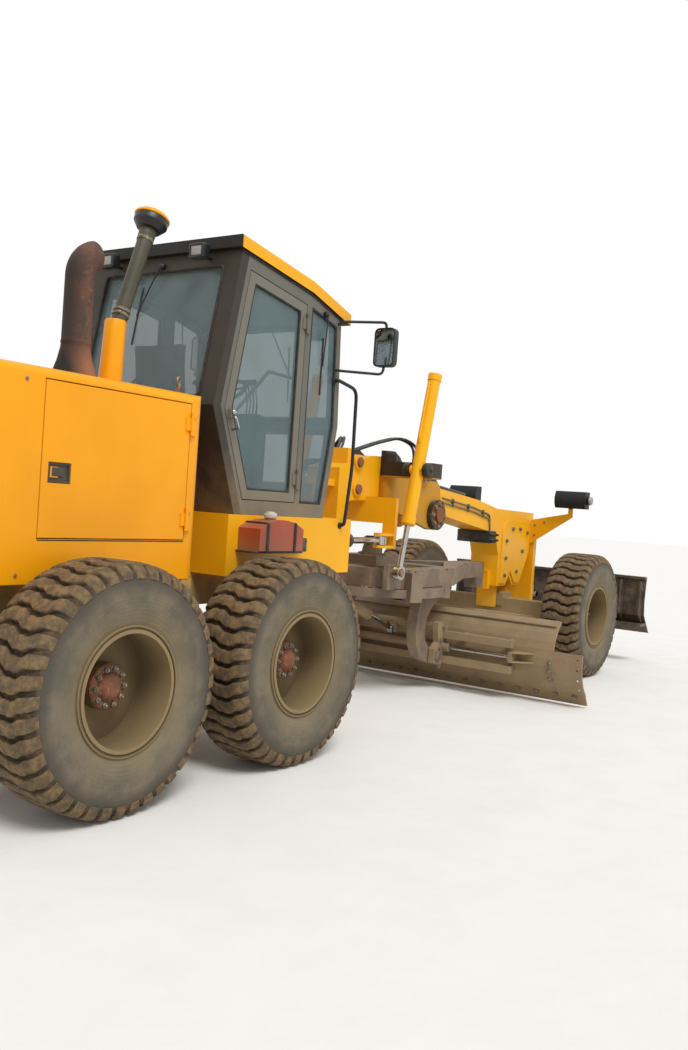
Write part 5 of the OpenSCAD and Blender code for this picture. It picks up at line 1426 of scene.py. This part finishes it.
class GRADER_OT_headlamps(bpy.types.Operator):
    """Add glazed lenses and bezels to the headlamp housings"""

    bl_idname = "grader.headlamps"
    bl_label = "Headlamps"

    def execute(self, context):
        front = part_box("headlamps")[1].x
        for name, side in SIDES.items():
            spot = on_side(side)
            for kind, y, radius, material in ROUND_LAMPS:
                middle, rim = (front, side * y, LAMP_Z), radius + 0.004
                bezel = [(-0.004, rim), (0.010, rim), (0.012, radius), (0.006, radius - 0.006)]
                dome = [(0.004, radius - 0.007), (0.012, radius * 0.86), (0.018, radius * 0.62),
                        (0.021, radius * 0.3), (0.022, 0.004)]
                for part, rings, finish_of in (("bezel", bezel, "black_plastic"),
                                               ("lens", dome, material)):
                    piece = turned(f"{part}_{kind}_{name}", rings, 40)
                    done(place(piece, middle, FORWARD), "front", finish_of)
            dome = [(0.0, 0.0505), (0.010, 0.050), (0.022, 0.044), (0.030, 0.030), (0.033, 0.008)]
            pane = turned(f"side_lens_{name}", dome, 36)
            done(place(pane, spot(6.709, 0.917, LAMP_Z), (0, side, 0)), "front", "clear_lens")
            places = [spot(6.749, y, z) for y, z in ((0.24, 1.50), (0.24, 1.62), (0.36, 1.66))]
            bolted(f"lamp_bolts_{name}", "front", spots(places, -FORWARD), 0.020)
        return {"FINISHED"}


# Bolts on the front head's plates, forward and up
HEAD_BOLTS = ((6.10, 1.02), (6.10, 1.22), (6.10, 1.42), (6.42, 1.06), (6.55, 1.30), (6.66, 1.52),
              (6.45, 1.56), (6.25, 1.56))


class GRADER_OT_frame_fittings(bpy.types.Operator):
    """Add bolts, pin caps, pipes, the valve block and the box on the gooseneck"""

    bl_idname = "grader.frame_fittings"
    bl_label = "Gooseneck fittings"

    def execute(self, context):
        for name, side in SIDES.items():
            spot, out = on_side(side), (0, side, 0)
            places = ring(spot(4.26, 0.270, 1.67), out, 0.112, 8)
            places += ring(spot(3.97, 0.270, 2.07), out, 0.068, 6)
            places += [spot(x, 0.184, z) for x, z in HEAD_BOLTS]
            bolted(f"frame_bolts_{name}", "front", spots(places, out), sizes().bolt_size)
            cap = turned("cap", [(0, 0.044), (0.014, 0.044), (0.020, 0.038), (0.022, 0.012)], 28)
            places = [spot(2.90, 0.192, z) for z in (1.855, 2.095)]
            caps = copies(cap, f"boss_caps_{name}", spots(places, out))
            done(caps, "front", "hub_rust", outward=False)
            # two pipes along the beam, one over the other
            for n, lift in enumerate((0.0, 0.045)):
                path = [spot(4.50, 0.180, 1.80 + lift), spot(5.20, 0.180, 1.73 + lift),
                        spot(5.62, 0.180, 1.66 + lift), spot(5.66, 0.180, 1.44)]
                done(tube(f"pipe_{name}_{n}", path, 0.009), "front", "zinc")
            clamp = block("clamp", (-0.014, -0.011, -0.040), (0.014, 0.011, 0.040), 0.003)
            places = [spot(x, 0.181, z) for x, z in ((4.72, 1.805), (5.08, 1.765), (5.44, 1.715))]
            clamps = copies(clamp, f"pipe_clamps_{name}", moved(places))
            done(clamps, "front", "black_plastic", outward=False)
        valve = block("valve", at(5.60, -0.200, 1.39), at(5.78, 0.200, 1.526), 0.008)
        port = turned("port", [(0, 0.017), (0.020, 0.017), (0.021, 0.013), (0.036, 0.013)], 6)
        places = [at(5.625 + 0.045 * k, -0.200, z) for k in range(4) for z in (1.425, 1.485)]
        ports = copies(port, "ports", spots(places, (0, -1, 0)))
        valve = joined([valve, ports], "valve_block")
        done(valve, "front", "black_enamel", outward=False)
        # flat box on top of the beam, sloping with it
        box = block("beam_box", (-0.295, -0.085, 0.0), (0.295, 0.085, 0.052), 0.012, 3)
        slope = Matrix.Rotation(math.atan2(0.090, 1.0), 4, "Y")
        box.data.transform(Matrix.Translation(at(4.90, 0, 1.896)) @ slope)
        done(box, "front", "black_plastic")
        return {"FINISHED"}


class GRADER_OT_saddle(bpy.types.Operator):
    """Add pin caps and pipes to the lift cylinders"""

    bl_idname = "grader.saddle"
    bl_label = "Ram fittings"

    def execute(self, context):
        cap = turned("cap", [(0, 0.062), (0.022, 0.060), (0.030, 0.050), (0.032, 0.020)], 28)
        head = hex_bolt(0.026)
        head.data.transform(Matrix.Translation((0, 0, 0.031)))
        template = joined([cap, head], "pin_cap")
        for name, side in SIDES.items():
            body, pivot = f"lift_ram_{name}", joint_place(f"lift_swing_{name}")
            inner, outer = sorted((side * 0.540, side * 0.740))
            caps = [copy_of(template, Matrix.Translation((pivot.x, y, pivot.z)) @ stand(axis))
                    for y, axis in ((inner, -LEFT), (outer, LEFT))]
            done(joined(caps, f"ram_caps_{name}"), body, "axle_enamel", outward=False)
            along = Vector(joints[f"lift_rod_{name}_slide"]["axis"]).normalized()
            # the pipe runs down the barrel's rear: distance up from the pin, and rearward
            path = [pivot - along * up - FORWARD * back for up, back in
                    ((0.80, 0.058), (0.80, 0.078), (0.30, 0.078), (0.25, 0.058))]
            done(tube(f"ram_pipe_{name}", path, 0.009, 0.02), body, "frame_enamel")
        bpy.data.objects.remove(template)
        return {"FINISHED"}


# Blade and axles

CARRIER_BOLTS = ((3.985, 0.405), (3.985, 0.475), (3.985, 0.225), (4.035, 0.60))
END_BOLTS = ((4.2287, 0.235), (4.1989, 0.31), (4.1841, 0.385))
END_Y, CARRIER_Y, EDGE_MARGIN = 1.575, 0.538, 0.10


class GRADER_OT_blade_fittings(bpy.types.Operator):
    """Bolt the cutting edge, the end plates, the rail clamps and the front blade's edge"""

    bl_idname = "grader.blade_fittings"
    bl_label = "Blade fittings"

    def execute(self, context):
        low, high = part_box("moldboard")
        across = row(low.y + EDGE_MARGIN, high.y - EDGE_MARGIN, sizes().edge_bolts)
        edge = [at(4.344, y, 0.098) for y in across]
        ends = [at(x, side * END_Y, z) for side in (1, -1) for x, z in END_BOLTS]
        # the cutting edge's back leans down and back
        places = spots(edge, (-130, 0, -86)) + spots(ends, (-0.96, 0, -0.27))
        bolted("edge_bolts", "blade", places, 0.040)
        clamps, caps = [], []
        for side in (1, -1):
            out = (0, side, 0)
            clamps += spots([at(x, side * CARRIER_Y, z) for x, z in CARRIER_BOLTS], out)
            caps += spots([at(3.95, side * CARRIER_Y, 0.33)], out)
        cap = turned("cap", [(0, 0.052), (0.014, 0.052), (0.020, 0.044), (0.022, 0.014)], 28)
        pieces = [copies(hex_bolt(0.032), "clamp_bolts", clamps), copies(cap, "tilt_caps", caps)]
        pieces = joined(pieces, "carrier_bolts")
        done(pieces, "carrier", "zinc", outward=False)
        low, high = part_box("dozer_blade")
        across = row(low.y + EDGE_MARGIN, high.y - EDGE_MARGIN, 14)
        places = [(high.x - 0.0595, y, low.z + 0.060) for y in across]
        places = spots(places, (0.71, 0, 0.70))
        bolted("dozer_bolts", "dozer", places, 0.036)
        return {"FINISHED"}


# Middle of the circle's drive, on top of the drawbar, and its shoes: angle and radius
DRIVE = at(3.52, 0, 1.17)
SHOES = ((50, 0.735), (115, 0.62), (115, 0.735), (245, 0.62), (245, 0.735), (310, 0.735))


class GRADER_OT_drawbar_fittings(bpy.types.Operator):
    """Add the circle drive's motor, its pipe and the shoes' bolts to the drawbar"""

    bl_idname = "grader.drawbar_fittings"
    bl_label = "Drawbar fittings"

    def execute(self, context):
        rings = [(0.0, 0.0925), (0.016, 0.0925), (0.018, 0.080), (0.026, 0.076), (0.028, 0.020)]
        motor = place(turned("motor", rings, 32), DRIVE + UP * 0.238)
        path = [DRIVE - FORWARD * back + UP * up
                for back, up in ((0.08, 0.19), (0.15, 0.19), (0.18, 0.088))]
        motor = joined([motor, tube("port_pipe", path, 0.012, 0.03)], "drive_motor")
        done(motor, "drawbar", "black_enamel")
        places = ring(DRIVE + UP * 0.090, UP, 0.125, 8)
        places += [DRIVE - UP * 0.020 + polar(radius, math.radians(angle))
                   for angle, radius in SHOES]
        bolted("drawbar_bolts", "drawbar", spots(places, UP), 0.032)
        return {"FINISHED"}


class GRADER_OT_axle_fittings(bpy.types.Operator):
    """Bolt the tandem cases' flanges and cap the king pins"""

    bl_idname = "grader.axle_fittings"
    bl_label = "Axle fittings"

    def execute(self, context):
        for name, side in SIDES.items():
            out, places = (0, side, 0), []
            for wheel in ("rear", "mid"):
                hub = joint_place(f"roll_{wheel}_{name}")
                places += ring((hub.x, side * 0.802, hub.z), out, 0.165, 12)
            bolted(f"case_bolts_{name}", "rear", spots(places, out), 0.028)
            king, body = joint_place(f"steer_{name}"), f"knuckle_{name}"
            rings = [(0, 0.050), (0.014, 0.050), (0.022, 0.042), (0.024, 0.012)]
            cap = turned(f"king_cap_{name}", rings, 28)
            done(place(cap, (king.x, king.y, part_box(body)[1].z)), body, "axle_enamel")
        return {"FINISHED"}


# Studio


class GRADER_OT_stage(bpy.types.Operator):
    """Set up the floor, the light and the camera"""

    bl_idname = "grader.stage"
    bl_label = "Stage"

    def execute(self, context):
        scene = context.scene
        scene.view_settings.view_transform = "Standard"
        floor = start("plane", "studio_floor", size=160)
        lone()
        floor.data.materials.append(self.floor_finish())
        self.light_world(scene)
        lone()
        bpy.ops.object.light_add(type="SUN", location=(-6, -8, 12))
        lamp = bpy.context.object
        lamp.name = "soft_lamp"
        lamp.data.energy, lamp.data.angle = 2.1, math.radians(24)
        lamp.rotation_euler = Vector((-0.35, -0.62, 1.0)).to_track_quat("Z", "Y").to_euler()
        scene.camera = self.camera()
        return {"FINISHED"}

    def floor_finish(self):
        """Smooth matt screed, very pale, with faint marks of the float 400 mm across."""
        made = Finish("pale_screed", linear("#E9E8E4"), 0.9)
        made.coat("#E5E4E0", made.patches(400, 0.35, 0.7))
        return made.finish(made.grain(6, 1.0), 0.1)

    def light_world(self, scene):
        """Soft light from all round, seen as plain white by the camera and in reflections."""
        world = scene.world = scene.world or bpy.data.worlds.new("studio")
        world.use_nodes = True
        tree = world.node_tree
        shade = tree.nodes["Background"]
        rays = add_node(tree, "LightPath").node.outputs
        seen = rays["Is Camera Ray"]
        for kind in ("Is Glossy Ray", "Is Transmission Ray"):
            seen = add_node(tree, "Math", (seen, rays[kind]), operation="MAXIMUM")
        level = add_node(tree, "MapRange", {"Value": seen, "To Min": 0.62, "To Max": 1.0})
        feed(tree, shade.inputs["Strength"], level)
        shade.inputs["Color"].default_value = (1, 1, 1, 1)

    def camera(self):
        """A camera behind the right rear corner, at a person's height, rolled a little."""
        yaw, pitch, roll = (math.radians(angle) for angle in (33.97, -1.3, 4.0))
        ahead = polar(math.cos(pitch), yaw) + UP * math.sin(pitch)
        level = Vector((math.sin(yaw), -math.cos(yaw), 0))
        right = level * math.cos(roll) + level.cross(ahead) * math.sin(roll)
        turn = Matrix((right, right.cross(ahead), -ahead)).transposed().to_4x4()
        lone()
        bpy.ops.object.camera_add()
        camera = bpy.context.object
        camera.matrix_world = Matrix.Translation(at(-4.42, -5.0, 1.73)) @ turn
        # 990 pixels of focal length on a frame 1050 pixels high
        camera.data.sensor_width, camera.data.lens = 36, 36 * 990 / 1050
        camera.data.clip_end = 200
        return camera


class GRADER_PT_panel(bpy.types.Panel):
    """Lists the grader's values and steps"""

    bl_label = "Motor grader"
    bl_space_type = "VIEW_3D"
    bl_region_type = "UI"
    bl_category = "Grader"

    def draw(self, context):
        for group in (context.scene.grader_sizes, context.scene.grader_colours):
            for name in group.__annotations__:
                self.layout.prop(group, name)
        for step in STEPS:
            self.layout.operator(step.bl_idname)


STEPS = [
    GRADER_OT_finishes, GRADER_OT_tyres, GRADER_OT_hubs, GRADER_OT_intake, GRADER_OT_exhaust,
    GRADER_OT_hood_fittings, GRADER_OT_cab_seals, GRADER_OT_wipers, GRADER_OT_cab_trim,
    GRADER_OT_cab_side, GRADER_OT_seat, GRADER_OT_levers, GRADER_OT_headlamps,
    GRADER_OT_frame_fittings, GRADER_OT_saddle, GRADER_OT_blade_fittings,
    GRADER_OT_drawbar_fittings, GRADER_OT_axle_fittings, GRADER_OT_stage,
]
CLASSES = [GraderSizes, GraderColours, *STEPS, GRADER_PT_panel]


def register():
    for kind in CLASSES:
        bpy.utils.register_class(kind)
    bpy.types.Scene.grader_sizes = bpy.props.PointerProperty(type=GraderSizes)
    bpy.types.Scene.grader_colours = bpy.props.PointerProperty(type=GraderColours)


def unregister():
    del bpy.types.Scene.grader_colours
    del bpy.types.Scene.grader_sizes
    for kind in reversed(CLASSES):
        bpy.utils.unregister_class(kind)


def main():
    register()
    for step in STEPS:
        group, name = step.bl_idname.split(".")
        getattr(getattr(bpy.ops, group), name)()


if __name__ == "__main__":
    main()
